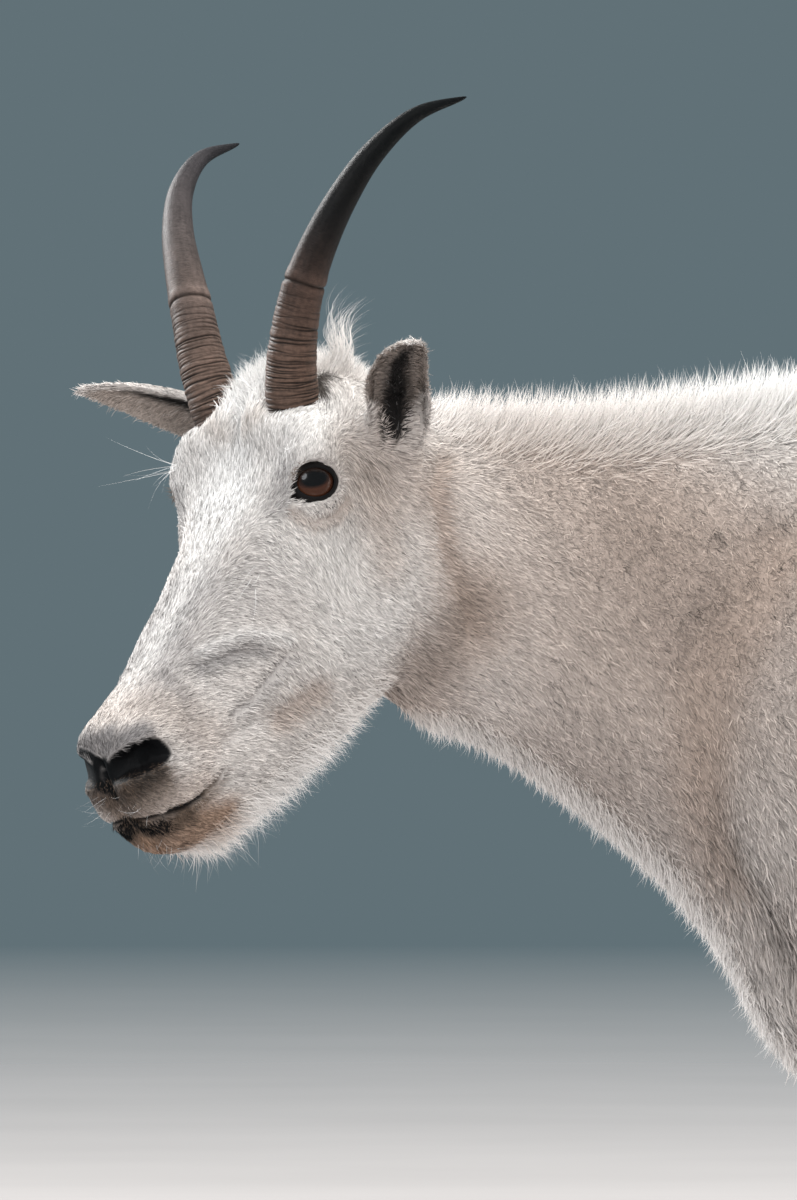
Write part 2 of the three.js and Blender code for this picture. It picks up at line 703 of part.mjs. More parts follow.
// The whole body in one skin, with the seats of the eyes, horns and ears cut into it
const headWhole = union([
  headSolid(),
  ...[1, -1].map((side) => eyeBall(side, eyeRadius + lidThickness)),
  ...tuftLocks(),
  ...beardLocks(),
]);
const headHollows = union([
  mouthGroove(),
  ...ears.map(earSeat),
  ...[1, -1].flatMap((side) => [
    eyeBall(side, eyeRadius + seam),
    almond(side),
    nostril(side),
    hornSolid(side, seam),
  ]),
]);
const flesh = union([
  torsoSolid(),
  neckSolid(),
  tailSolid(),
  inHead(headWhole),
  ...legs.map(legSolid),
  ...maneLocks(),
]).subtract(inHead(headHollows));

// A block in the head's frame, from behind the ears and the jaw to past the nose
function headBlock(grow) {
  const geometry = new THREE.BoxGeometry(400, 400, 500);
  geometry.translate(200 - grow, 0, 0);
  geometry.rotateY(THREE.MathUtils.degToRad(-14));
  geometry.translate(headCut, 0, 0);
  return inHead(solidOf(geometry));
}

const frontBlock = (x) => blockBetween(new THREE.Vector3(-900, -500, -10), new THREE.Vector3(x, 500, 1400));
const rearBlock = (x) => blockBetween(new THREE.Vector3(x, -500, -10), new THREE.Vector3(1200, 500, 1400));

function legBlock(leg, grow) {
  const middle = leg.stations.find((s) => s.z === coronetHeight).x;
  const [inner, outer] = [leg.side * -20, leg.side * 400];
  const low = new THREE.Vector3(middle - 130, Math.min(inner, outer), coronetHeight);
  const high = new THREE.Vector3(middle + 130, Math.max(inner, outer), leg.cut + grow);
  return blockBetween(low, high);
}

addNode(head, "head", outOfHead(flesh.intersect(headBlock(0))), finish("coat", 0.9));
for (const side of [1, -1]) {
  const hand = side > 0 ? "left" : "right";
  addNode(head, `eye_${hand}`, eyeBall(side, eyeRadius), finish("eye", 0.08));
  addNode(head, `horn_${hand}`, hornSolid(side, 0), finish("horn", 0.5));
}
for (const ear of ears) addNode(head, ear.name, earSolid(ear), finish("coat", 0.9));

const body = flesh.subtract(headBlock(seam));
const trunk = body.subtract(frontBlock(neckCut + seam)).subtract(rearBlock(tailCut - seam));
addNode(goat, "neck", body.intersect(frontBlock(neckCut)), finish("coat", 0.9));
addNode(goat, "torso", trunk.subtract(union(legs.map((leg) => legBlock(leg, seam)))), finish("coat", 0.9));
addNode(goat, "tail", body.intersect(rearBlock(tailCut)), finish("coat", 0.9));

for (const leg of legs) {
  const limb = body.intersect(legBlock(leg, 0));
  addNode(goat, leg.name, limb, finish("coat", 0.9));
  for (const lateral of [-1, 1]) {
    const place = `${leg.name.replace("leg", "")}_${lateral === leg.side ? "outer" : "inner"}`;
    addNode(goat, `hoof_${place}`, claw(leg, lateral), finish("hoof", 0.55));
    const spur = dewclaw(leg, lateral).subtract(limb.translate([seam, 0, 0]));
    addNode(goat, `dewclaw_${place}`, spur, finish("hoof", 0.55));
  }
}

// The whole stands with the middle of its box over the origin.
const box = new THREE.Box3().setFromObject(goat, true);
const middle = box.getCenter(new THREE.Vector3());
goat.position.set(-middle.x, -middle.y, -box.min.z);

export default goat;
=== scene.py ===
import math

import bpy
import numpy as np
from mathutils import Matrix, Vector


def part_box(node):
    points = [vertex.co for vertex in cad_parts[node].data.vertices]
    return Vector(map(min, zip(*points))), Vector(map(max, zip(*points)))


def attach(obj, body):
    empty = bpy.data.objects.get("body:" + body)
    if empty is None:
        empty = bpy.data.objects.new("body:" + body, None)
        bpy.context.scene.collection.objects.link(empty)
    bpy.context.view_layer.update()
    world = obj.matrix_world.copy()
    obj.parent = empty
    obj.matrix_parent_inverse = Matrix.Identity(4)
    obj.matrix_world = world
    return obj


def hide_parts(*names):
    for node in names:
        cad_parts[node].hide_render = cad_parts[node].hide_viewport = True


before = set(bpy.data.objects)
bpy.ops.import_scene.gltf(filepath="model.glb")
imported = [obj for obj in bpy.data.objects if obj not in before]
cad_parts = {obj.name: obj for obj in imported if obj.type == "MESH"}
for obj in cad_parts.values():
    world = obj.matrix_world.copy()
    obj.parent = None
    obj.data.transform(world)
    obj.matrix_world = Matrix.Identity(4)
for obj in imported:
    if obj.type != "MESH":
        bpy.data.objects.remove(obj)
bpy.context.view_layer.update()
bpy.ops.object.select_all(action="DESELECT")

# A still mountain goat. Sizes are millimetres in the goat's own frame, made metres by mm.
mm = 0.001
axisX, axisY, axisZ = np.eye(3)

# The head's frame: +x to the nose, +y to its left, +z to the crown, zero between the eyes
headPlace = {"at": (-322, -161, 774), "turn": 221, "nod": 30, "tilt": 7, "eye": (-6.6, 49, -3)}


def boxMiddle(node):
    low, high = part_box(node)
    return np.array((low + high) / 2)


def turned(angles):
    turn, nod, tilt = (math.radians(angle) for angle in angles)
    spun = Matrix.Rotation(turn, 3, "Z") @ Matrix.Rotation(nod, 3, "Y") @ Matrix.Rotation(tilt, 3, "X")
    return np.array(spun)


headAxes = turned((headPlace["turn"], headPlace["nod"], headPlace["tilt"]))
eyeX, eyeY, eyeZ = headPlace["eye"]
headMiddle = (boxMiddle("eye_left") + boxMiddle("eye_right")) / 2 - headAxes @ np.array((eyeX, 0, eyeZ)) * mm
bodyShift = headMiddle - np.array(headPlace["at"]) * mm


def fromHead(points):
    return np.asarray(points, float) @ headAxes.T * mm + headMiddle


def toHead(points):
    return (np.asarray(points, float) - headMiddle) @ headAxes / mm


def fromBody(points):
    return np.asarray(points, float) * mm + bodyShift


def toBody(points):
    return (np.asarray(points, float) - bodyShift) / mm


# Small helpers


def unit(vectors):
    vectors = np.asarray(vectors, float)
    return vectors / np.maximum(np.linalg.norm(vectors, axis=-1, keepdims=True), 1e-12)


def fade(low, high, values):  # 0 below low, 1 above high, smooth between
    share = np.clip((values - low) / (high - low), 0, 1)
    return share * share * (3 - 2 * share)


def along(rows, places):  # a smooth line through rows, read at places from 0 to 1
    rows = np.asarray(rows, float)
    spot = np.clip(np.asarray(places, float), 0, 1) * (len(rows) - 1)
    index = np.minimum(spot.astype(int), len(rows) - 2)
    f = (spot - index)[:, None]
    ends = np.vstack([2 * rows[:1] - rows[1:2], rows, 2 * rows[-1:] - rows[-2:-1]])
    a, b, c, d = (ends[index + k] for k in range(4))
    return b + 0.5 * f * (c - a + f * (2 * a - 5 * b + 4 * c - d + f * (3 * (b - c) + d - a)))


def linked(name, data):  # a new object of the scene
    made = bpy.data.objects.new(name, data)
    bpy.context.scene.collection.objects.link(made)
    return made


def meshObject(name, points, faces):
    mesh = bpy.data.meshes.new(name)
    mesh.from_pydata([tuple(p) for p in points], [], [tuple(f) for f in faces])
    mesh.update()
    return linked(name, mesh)


def readRows(items, field, wide, kind=float):  # one field of all the items, a row for each
    flat = np.empty(len(items) * wide, kind)
    items.foreach_get(field, flat)
    return flat.reshape(-1, wide)


def readPoints(piece):
    return readRows(piece.data.vertices, "co", 3)


def readNormals(piece):
    return readRows(piece.data.vertex_normals, "vector", 3)


def readLinks(piece):
    return readRows(piece.data.edges, "vertices", 2, int)


def writePoints(piece, points):
    piece.data.vertices.foreach_set("co", np.asarray(points, float).ravel())
    piece.data.update()


def writeField(piece, name, kind, values):  # a value at each point, for the piece's material
    part = {"FLOAT": "value", "FLOAT_VECTOR": "vector", "FLOAT_COLOR": "color"}[kind]
    layer = piece.data.attributes.new(name, kind, "POINT")
    layer.data.foreach_set(part, np.asarray(values).astype(np.float32).ravel())


def writeTint(piece, tint):
    writeField(piece, "tint", "FLOAT_COLOR", np.hstack([tint, np.ones((len(tint), 1))]))


def selectOnly(*pieces):
    bpy.ops.object.select_all(action="DESELECT")
    for piece in pieces:
        piece.select_set(True)
    bpy.context.view_layer.objects.active = pieces[0]


def joined(name, pieces):
    selectOnly(*pieces)
    bpy.ops.object.join()
    pieces[0].name = pieces[0].data.name = name
    return pieces[0]


def edited(piece, *steps):  # the piece after some operators on all of its mesh
    selectOnly(piece)
    bpy.ops.object.mode_set(mode="EDIT")
    bpy.ops.mesh.select_all(action="SELECT")
    for operator, settings in steps:
        operator(**settings)
    bpy.ops.object.mode_set(mode="OBJECT")
    return piece


faceOutward = (bpy.ops.mesh.normals_make_consistent, {"inside": False})


def remeshed(piece, voxel):
    selectOnly(piece)
    piece.data.remesh_voxel_size = voxel
    bpy.ops.object.voxel_remesh()
    return piece


def pinched(values, power):
    return np.sign(values) * np.abs(values) ** power


def ring(centre, side, up, half, rise, drop=None, crown=1, keel=1, count=64):
    drop = rise if drop is None else drop
    angle = np.arange(count) / count * 2 * np.pi
    c, s = np.cos(angle), np.sin(angle)
    bend = np.where(s >= 0, crown, keel)
    across = half * pinched(c, bend)
    height = np.where(s >= 0, rise, drop) * pinched(s, np.minimum(bend, 1))
    return np.asarray(centre) + np.outer(across, side) + np.outer(height, up)


def loft(name, rings, move):  # a closed mesh over rings of points, which move takes to metres
    count = len(rings[0])
    last = (len(rings) - 1) * count
    faces = []
    for start in range(0, last, count):
        for i in range(count):
            j = (i + 1) % count
            faces.append((start + i, start + j, start + count + j, start + count + i))
    faces.append(list(range(count))[::-1])
    faces.append(list(range(last, last + count)))
    return edited(meshObject(name, np.vstack([move(r) for r in rings]), faces), faceOutward)


def relaxed(points, links, share, rounds):  # pulls each point towards the middle of its neighbours
    count = len(points)
    starts, ends = np.concatenate([links, links[:, ::-1]]).T
    degree = np.maximum(np.bincount(starts, minlength=count), 1)[:, None]
    share = np.broadcast_to(share, count)[:, None]
    for _ in range(rounds):
        total = np.stack([np.bincount(starts, column[ends], count) for column in points.T], 1)
        points = points + share * (total / degree - points)
    return points


def lattice(cells, seed):  # a fixed random number from 0 to 1 for each cell
    a, b, c = (cells[:, k].astype(np.int64) for k in range(3))
    mixed = (a * 73856093 ^ b * 19349663 ^ c * 83492791 ^ seed * 2654435761) & 0x7FFFFFFF
    mixed = (mixed * 1103515245 + 12345) & 0x7FFFFFFF
    return (mixed ^ (mixed >> 13)) % 100003 / 100003


def cloud(points, size, seed):  # smooth noise from -1 to 1
    spot = np.asarray(points) / size
    cell = np.floor(spot).astype(int)
    f = fade(0, 1, spot - cell)
    total = np.zeros(len(points))
    for corner in np.ndindex(2, 2, 2):
        weight = np.prod(np.where(corner, f, 1 - f), axis=1)
        total += weight * lattice(cell + corner, seed)
    return total * 2 - 1


# The body's lofts, under the coat. Upright sections of the torso: x, top, level, bottom, half, crown, keel
torsoRings = [
    (-46, 612, 575, 532, 28, 0.9, 0.9),
    (-32, 700, 590, 478, 58, 1, 0.9),
    (0, 810, 600, 436, 90, 1.2, 0.9),
    (70, 845, 600, 412, 118, 1.25, 0.9),
    (160, 838, 590, 404, 130, 1.2, 0.9),
    (270, 804, 580, 408, 140, 1, 0.9),
    (380, 786, 580, 422, 145, 0.9, 0.9),
    (480, 782, 600, 448, 138, 0.85, 0.95),
    (580, 780, 630, 492, 124, 0.9, 1),
    (670, 752, 650, 540, 102, 0.9, 1),
    (722, 714, 645, 575, 64, 0.95, 1),
    (738, 684, 640, 600, 30, 1, 1),
]

# Neck sections from crest to throat: crest x, y, z, throat x, y, z, half, crown, keel
neckRings = [
    (-292, -136, 796, -262, -122, 690, 38, 1, 1),
    (-258, -108, 824, -232, -104, 650, 56, 0.9, 0.95),
    (-206, -74, 819, -184, -76, 625, 60, 1, 0.95),
    (-140, -40, 815, -118, -42, 582, 66, 1.15, 0.95),
    (-72, -14, 822, -58, -15, 522, 82, 1.25, 0.95),
    (0, 0, 833, 0, 0, 438, 102, 1.3, 0.95),
    (80, 0, 834, 60, 0, 436, 114, 1.3, 0.95),
]

# Level sections of a leg: x, out, z, half long, half wide
foreRings = [
    (84, 46, 786, 20, 8),
    (56, 64, 684, 94, 42),
    (45, 72, 592, 96, 47),
    (72, 80, 498, 72, 41),
    (76, 84, 424, 55, 38),
    (74, 85, 338, 37, 31),
    (67, 85, 268, 34, 32),
    (73, 85, 222, 27, 26),
    (76, 86, 160, 25, 23),
    (76, 87, 100, 30, 28),
    (67, 88, 70, 29, 28),
    (60, 89, 47, 32, 31),
    (57, 89, 34, 31, 30),
]
hindRings = [
    (636, 40, 744, 24, 10),
    (644, 66, 690, 82, 40),
    (642, 76, 600, 98, 50),
    (622, 83, 512, 75, 44),
    (640, 85, 430, 56, 38),
    (682, 83, 345, 36, 28),
    (704, 82, 296, 36, 29),
    (704, 82, 244, 28, 24),
    (697, 83, 170, 25, 23),
    (691, 85, 102, 29, 27),
    (678, 86, 70, 28, 27),
    (669, 87, 47, 31, 30),
    (666, 87, 34, 30, 29),
]
legs = [
    {"name": "foreleg_left", "rings": foreRings, "side": -1, "step": -14, "cut": 398},
    {"name": "foreleg_right", "rings": foreRings, "side": 1, "step": 18, "cut": 398},
    {"name": "hindleg_left", "rings": hindRings, "side": -1, "step": 14, "cut": 454},
    {"name": "hindleg_right", "rings": hindRings, "side": 1, "step": -24, "cut": 454},
]
coronet = 47  # top of the hooves

# Tail: x, z, half, thick
tailRings = [(690, 712, 22, 18), (728, 706, 27, 20), (748, 672, 29, 19), (753, 624, 23, 15), (750, 588, 8, 6)]

# Upright sections of the head along its own x: x, top, level, bottom, half, crown, keel
headRings = [
    (191, -85, -92, -99, 7, 1, 1),
    (190, -78, -92, -108, 16, 0.9, 0.9),
    (187.5, -69, -92, -126, 24, 0.85, 0.85),
    (180, -58, -93, -141, 31, 0.78, 0.85),
    (158, -51, -94, -152, 35, 0.75, 0.85),
    (130, -44, -90, -153, 38, 0.7, 0.9),
    (98, -32, -78, -152, 43, 0.68, 0.95),
    (66, -18, -66, -151, 48, 0.72, 1),
    (34, -1, -42, -150, 56, 0.76, 1),
    (4, 19, -18, -149, 59, 0.78, 1.05),
    (-24, 45, -6, -147, 60, 0.7, 1.05),
    (-50, 50, -8, -145, 57, 0.74, 1),
    (-80, 39, -30, -146, 53, 0.86, 1),
    (-108, 16, -40, -120, 44, 1, 1),
    (-124, -16, -60, -95, 24, 1, 1),
]

# Swells of the face, in the head's frame, on both sides: x, y, z, reach, swell
faceSwells = [
    (-4, 56, 0, 26, 7),  # eye socket
    (0, 57, 16, 22, 11),  # brow
    (38, 48, -18, 14, -2),  # tear hollow
    (28, 52, -46, 24, 3),  # cheekbone
    (70, 42, -72, 22, 2.5),  # face crest
    (88, 38, -112, 22, -3.5),  # cheek hollow
    (-28, 50, -98, 40, 6),  # jaw muscle
    (-44, 56, 6, 16, -3),  # temple
    (170, 26, -68, 14, 3),  # nostril wing
    (166, 32, -108, 16, 2.5),  # upper lip
    (172, 16, -136, 14, 1.5),  # lower lip
    (128, 36, -130, 12, -2),  # lip corner
    (196, 0, -94, 8, -3),  # parting of the nose
]


def torsoLoft():
    rings = []
    for x, top, level, bottom, half, crown, keel in along(torsoRings, np.linspace(0, 1, 60)):
        rings.append(ring((x, 0, level), axisY, axisZ, half, top - level, level - bottom, crown, keel))
    return loft("torso form", rings, fromBody)


def neckLoft():
    rows = along(neckRings, np.linspace(0, 1, 40))
    middles = (rows[:, :3] + rows[:, 3:6]) / 2
    runs = np.gradient(middles, axis=0)
    rings = []
    for row, middle, run in zip(rows, middles, runs):
        up = unit(row[:3] - row[3:6])
        side = unit(np.cross(run, up))
        rise = np.linalg.norm(row[:3] - row[3:6]) / 2
        rings.append(ring(middle, side, up, row[6], rise, rise, row[7], row[8]))
    return loft("neck form", rings, fromBody)


def legLoft(leg):
    rings = []
    for x, out, z, long, wide in along(leg["rings"], np.linspace(0, 1, 70)):
        step = leg["step"] * np.clip((leg["cut"] - z) / (leg["cut"] - coronet), 0, 1)
        rings.append(ring((x + step, leg["side"] * out, z), axisX, axisY, long, wide, count=40))
    return loft(leg["name"] + " form", rings, fromBody)


def tailLoft():
    rows = along(tailRings, np.linspace(0, 1, 24))
    runs = unit(np.gradient(rows[:, :2], axis=0))
    rings = []
    for (x, z, half, thick), (dx, dz) in zip(rows, runs):
        rings.append(ring((x, 0, z), axisY, (-dz, 0, dx), half, thick, count=32))
    return loft("tail form", rings, fromBody)


def swellAt(points, swells):
    amount = np.zeros(len(points))
    for x, y, z, reach, swell in swells:
        away = np.stack([points[:, 0] - x, np.abs(points[:, 1]) - y, points[:, 2] - z], 1) / reach
        amount += swell * np.exp(-(away**2).sum(1))
    return amount


def headLoft():
    rings = []
    for x, top, level, bottom, half, crown, keel in along(headRings, np.linspace(0, 1, 110) ** 1.15):
        points = ring((x, 0, level), axisY, axisZ, half, top - level, level - bottom, crown, keel, 96)
        out = unit(points - (x, 0, level))
        rings.append(points + out * swellAt(points, faceSwells)[:, None])
    return loft("head form", rings, fromHead)


# Ears: a leaf with its front hollowed. Rows: share of the length, half, back, front, push, sway
earRows = [
    (-0.1, 15, 15, 14, 0, 0),
    (0.1, 18, 17, 15, 0, 1.5),
    (0.3, 21, 18, 10, 0, 0.5),
    (0.52, 19.5, 16, 6, 0, -2),
    (0.76, 15.5, 11, 4, 2, 0),
    (0.93, 8.5, 6, 3, 6, 3.5),
    (1, 3, 2.5, 2, 9, 5.5),
]
ears = {  # white: where the pale outer wall of the cup begins
    "ear_left": {
        "root": (-74, 50, -14), "lean": (0.22, 0.775, 0.595), "face": (0.7, 0.3, -0.62),
        "sway": 1, "white": 2,
    },
    "ear_right": {
        "root": (-74, -50, -14), "lean": (0.43, -0.53, 0.73), "face": (0.88, 0.24, -0.4),
        "sway": 0, "white": 0.16,
    },
}
earLength = 134


def earFrame(ear):  # rows: across, open, along; in the head's frame
    lean = unit(ear["lean"])
    opening = np.array(ear["face"], float)
    opening = unit(opening - lean * opening.dot(lean))
    return np.array([np.cross(lean, opening), opening, lean])


def earLoft(name):
    ear = ears[name]
    across, opening, lean = earFrame(ear)
    rings = []
    for up, half, back, front, push, sway in along(earRows, np.linspace(0, 1, 60)):
        centre = np.array(ear["root"]) + lean * up * earLength + opening * push + across * sway * ear["sway"]
        rings.append(ring(centre, across, opening, half, front, back, count=48))
    return loft(name + " form", rings, fromHead)


def sphere(radius, segments, rings):
    bpy.ops.mesh.primitive_uv_sphere_add(segments=segments, ring_count=rings, radius=radius * mm)
    return bpy.context.object


def lidBall(side):  # the flesh round an eye
    ball = sphere(eyes["radius"] + eyes["lidThick"], 48, 32)
    writePoints(ball, readPoints(ball) + fromHead([eyeCentre(side)])[0])
    return ball


# One skin for all the flesh: the head fine, the body coarser, sewn behind the jaw
skinSizes = {
    "headVoxel": 2.6, "bodyVoxel": 7.6, "sewAt": -150, "sewTurn": -14, "sewNod": -30,
    "seamShift": 25, "seamLean": 0.25, "seamReach": 30, "bodyFrom": (-130, -160),
    "jawReach": (34, 8), "behindJaw": (-30, -55),
}


def halfOf(piece, keepHead):
    angles = (headPlace["turn"] + skinSizes["sewTurn"], headPlace["nod"] + skinSizes["sewNod"], 0)
    plane = {"plane_co": fromHead([(skinSizes["sewAt"], 0, 0)])[0], "plane_no": turned(angles) @ axisX}
    kept = {"use_fill": False, "clear_inner": keepHead, "clear_outer": not keepHead}
    return edited(piece, (bpy.ops.mesh.bisect, {**plane, **kept}))


def makeSkin():
    heads = [headLoft(), neckLoft(), earLoft("ear_left"), earLoft("ear_right"), lidBall(1), lidBall(-1)]
    head = remeshed(joined("skin", heads), skinSizes["headVoxel"] * mm)
    bodies = [torsoLoft(), neckLoft(), tailLoft(), *(legLoft(leg) for leg in legs)]
    body = remeshed(joined("skin body", bodies), skinSizes["bodyVoxel"] * mm)
    print("skin", len(head.data.polygons), len(body.data.polygons))
    return edited(
        joined("skin", [halfOf(head, True), halfOf(body, False)]),
        (bpy.ops.mesh.select_all, {"action": "DESELECT"}),
        (bpy.ops.mesh.select_non_manifold, {}),
        (bpy.ops.mesh.bridge_edge_loops, {}),
        (bpy.ops.mesh.select_all, {"action": "SELECT"}),
        faceOutward,
    )


def refine(piece, inside):  # splits the faces whose corners are all inside
    edited(piece, (bpy.ops.mesh.select_all, {"action": "DESELECT"}))
    piece.data.vertices.foreach_set("select", inside(toHead(readPoints(piece))))
    bpy.ops.object.mode_set(mode="EDIT")
    bpy.ops.mesh.select_mode(type="VERT")
    bpy.ops.mesh.select_mode(type="FACE")
    bpy.ops.mesh.subdivide(number_cuts=1)
    bpy.ops.object.mode_set(mode="OBJECT")


# How the coat lies. Each row combs the hair near one place: its x, y, z, the lie's x, y, z, and the length
faceComb = [
    (178, 0, -60, -0.8, 0, 0.45, 4),
    (140, 8, -48, -1, 0.15, 0.35, 5),
    (98, 10, -33, -1, 0.2, 0.3, 7),
    (50, 12, -8, -1, 0.2, 0.4, 5.5),
    (10, 15, 18, -1, 0.15, 0.5, 5.5),
    (-24, 10, 45, -1, 0.1, 0.2, 8),
    (98, 34, -60, -0.7, 0.3, -0.6, 6),
    (60, 42, -40, -0.55, 0.2, -0.8, 6),
    (140, 33, -75, -1, 0.2, -0.4, 5),
    (160, 36, -100, -1, 0.1, -0.45, 5),
    (175, 30, -112, -0.75, 0.2, -0.6, 4),
    (192, 8, -104, -0.1, 0.3, -1, 3.5),
    (170, 25, -135, -0.7, 0.1, -0.7, 7),
    (155, 0, -152, -0.8, 0, -0.6, 9),
    (120, 0, -152, -0.85, 0, -0.6, 12),
    (110, 38, -120, -0.97, 0, -0.7, 7),
    (60, 48, -90, -0.45, 0, -1, 8),
    (20, 52, -120, -0.6, 0, -0.9, 9),
    (20, 20, -148, -0.85, 0, -0.6, 11),
    (10, 57, -40, 0.1, 0, -1, 8),
    (-40, 58, -20, -0.1, 0, -1, 9),
    (40, 52, -15, -0.36, 0, -1, 7),
    (-6, 66, 10, -0.6, 0, 0.6, 3.5),
    (0, 64, -24, 0, 0, -1, 3.5),
    (0, 55, 28, -1.2, 0, 0.1, 6),
    (30, 40, 12, -1, 0.1, -0.1, 5.5),
    (-40, 0, 48, -0.6, 0, 0.8, 14),
    (-80, 0, 40, -0.7, 0, 0.5, 17),
    (-70, 44, 10, -0.6, 0.6, 0.3, 5),
    (-58, 40, 34, -0.4, 0.3, 0.9, 6),
    (-104, 45, -50, -1, 0, -0.3, 9),
    (-70, 55, -80, -0.6, 0, -0.9, 9),
    (-60, 30, -135, -0.9, 0, -0.4, 10),
]
# The same for the body, in the body's frame
bodyComb = [
    (-210, -76, 800, 0.7, 0.25, 0.3, 12),
    (-190, -130, 740, 0.85, 0.25, -0.45, 7),
    (-190, -20, 740, 0.85, 0.25, -0.45, 7),
    (-150, -50, 620, 0.6, 0.2, -0.8, 8),
    (-60, 80, 700, 0.7, 0, -0.6, 7.5),
    (-60, 70, 640, 0.6, 0, -0.8, 8),
    (-40, 0, 540, 0.25, 0, -1, 15),
    (60, 115, 650, 0.55, 0, -0.8, 12),
    (80, 0, 835, 0.9, 0, 0.2, 16),
    (250, 138, 600, 0.75, 0, -0.6, 14),
    (300, 0, 800, 1, 0, -0.1, 15),
    (450, 138, 560, 0.6, 0, -0.8, 15),
    (300, 0, 408, 0.8, 0, -0.5, 20),
    (580, 0, 780, 1, 0, -0.2, 16),
    (680, 80, 700, 0.6, 0, -0.8, 16),
    (642, 120, 600, 0.35, 0, -0.95, 15),
    (720, 70, 560, 0.3, 0, -1, 18),
    (600, 110, 500, 0.3, 0, -1, 15),
    (650, 100, 420, 0.1, 0, -1, 13),
    (700, 83, 300, 0, 0, -1, 10),
    (697, 83, 180, 0, 0, -1, 8),
    (690, 85, 100, 0, 0, -1, 9),
    (672, 86, 62, -0.2, 0, -1, 6),
    (60, 100, 520, 0.3, 0, -0.95, 18),
    (76, 85, 424, 0.1, 0, -1, 14),
    (70, 85, 268, 0, 0, -1, 10),
    (76, 86, 160, 0, 0, -1, 8),
    (76, 87, 100, 0, 0, -1, 9),
    (62, 88, 62, -0.2, 0, -1, 6),
    (750, 0, 650, 0.2, 0, -1, 22),
]
earComb = ((0.35, 6), (0.65, 5), (0.95, 5))  # share of the ear and length; the lie runs to its tip
combReach = {"face": 26, "body": 95}


def combRows():  # every row in metres, mirrored to the other side: place, lie, length, reach
    rows = []
    for ear in ears.values():
        for share, length in earComb:
            place = np.array(ear["root"]) + np.array(ear["lean"]) * share * earLength
            lie = unit(headAxes @ ear["lean"])
            rows.append((*fromHead([place])[0], *lie, length * mm, combReach["face"] * mm))
    for table, move, axes, reach in (
        (faceComb, fromHead, headAxes, combReach["face"]),
        (bodyComb, fromBody, np.eye(3), combReach["body"]),
    ):
        for x, y, z, lieX, lieY, lieZ, length in table:
            for side in (1, -1) if y > 0 else (1,):
                lie = unit(axes @ np.array((lieX, lieY * side, lieZ)))
                rows.append((*move([(x, y * side, z)])[0], *lie, length * mm, reach * mm))
    return np.array(rows)


def combed(points):  # lie and length at each point
    total = np.zeros((len(points), 4))
    weights = np.zeros(len(points))
    for row in combRows():
        away = np.linalg.norm(points - row[:3], axis=1) / row[7]
        weight = 1 / (away**2 + 0.02) ** 2.2
        total += weight[:, None] * row[3:7]
        weights += weight
    total /= weights[:, None]
    return unit(total[:, :3]), total[:, 3]


# Paths on the head, in its frame, one side of it
mouthLine = [
    (194, 0, -109), (189, 8, -112), (187, 18, -113), (178, 29, -116),
    (166, 32, -119), (153, 32, -119), (140, 33, -118), (133, 33, -115),
]
cheekLines = [
    [(115, 34, -56), (106, 37, -57), (99, 40, -58), (88, 43, -62), (79, 46, -66)],
    [(66, 47, -79), (80, 44, -84), (95, 40, -89), (111, 39, -90)],
    [(53, 40, -109), (67, 38, -109), (82, 35, -110)],
    [(125, 36, -101), (111, 37, -100), (93, 37, -103)],
]
cheekCrest = [(109, 34, -51), (95, 39, -52), (82, 43, -55), (71, 47, -62), (61, 49, -69)]
farLip = [(182, -26, -84), (183, -26, -98), (183, -20, -106)]
muzzleEdge = [(135, 22, -51), (136, 32, -62), (138, 35, -75), (146, 35, -87)]
underNostril = [(190, 3, -93), (189, 17, -92), (183, 28, -91), (176, 32, -91)]
farNostril = [(184, -18, -67), (186, -7, -70), (188, -1, -74), (189, 3, -81), (190, 2, -89), (190, 0, -97)]
lidFold = [(18, 54, -10), (12, 59, -20), (-4, 61, -25), (-15, 61, -21)]
browFold = [(14, 50, 8), (6, 56, 14), (-8, 60, 15), (-20, 60, 8)]
jawEdge = [
    (-96, 44, -42), (-82, 52, -52), (-75, 54, -67), (-67, 54, -82),
    (-65, 55, -98), (-63, 54, -112), (-60, 47, -134),
]

# Openings and creases with a sharp edge, and soft hollows and swells: path, reach, depth
creases = [
    (mouthLine, 2.2, 3),
    (lidFold, 2.6, 1.8),
    (browFold, 2.6, 1.2),
]
hollows = [
    ([(190, 0, -64), (194, 0, -104)], 5, 2),
    (cheekLines[0], 5, 4),
    (cheekCrest, 5, -2.6),
    (cheekLines[1], 3.6, 2.6),
    (cheekLines[2], 9, 3),
    (cheekLines[3], 5, 2.4),
    (muzzleEdge, 5, 2),
    (jawEdge, 7, 3),
    ([(188, 0, -75), (191, 0, -96)], 2.6, 2),
    ([(-15, 16, 40), (-9, 32, 33), (-16, 48, 26)], 14, -7.5),  # the cuff of hair round the horn
    ([(12, 0, 16), (-30, 0, 46)], 10, 2.5),
    ([(8, 57, 16), (-10, 62, 17)], 9, -2),
    ([(24, 46, 2), (34, 44, -14)], 12, 2.5),
    ([(60, 45, -44), (90, 38, -48)], 14, -2),
    ([(192, 15, -90), (191, 15, -104)], 10, -5.5),  # the upper lip
]


def pathDistance(points, path):
    path = np.asarray(path, float)
    best = np.full(len(points), 1e9)
    for a, b in zip(path[:-1], path[1:]):
        share = np.clip((points - a) @ (b - a) / max((b - a) @ (b - a), 1e-9), 0, 1)
        best = np.minimum(best, np.linalg.norm(points - a - share[:, None] * (b - a), axis=1))
    return best


def bulging(points, path, reach):  # 1 on the path, softly less away from it
    return np.exp(-((pathDistance(points, path) / reach) ** 2))


def bothSides(points):
    return np.stack([points[:, 0], np.abs(points[:, 1]), points[:, 2]], 1)


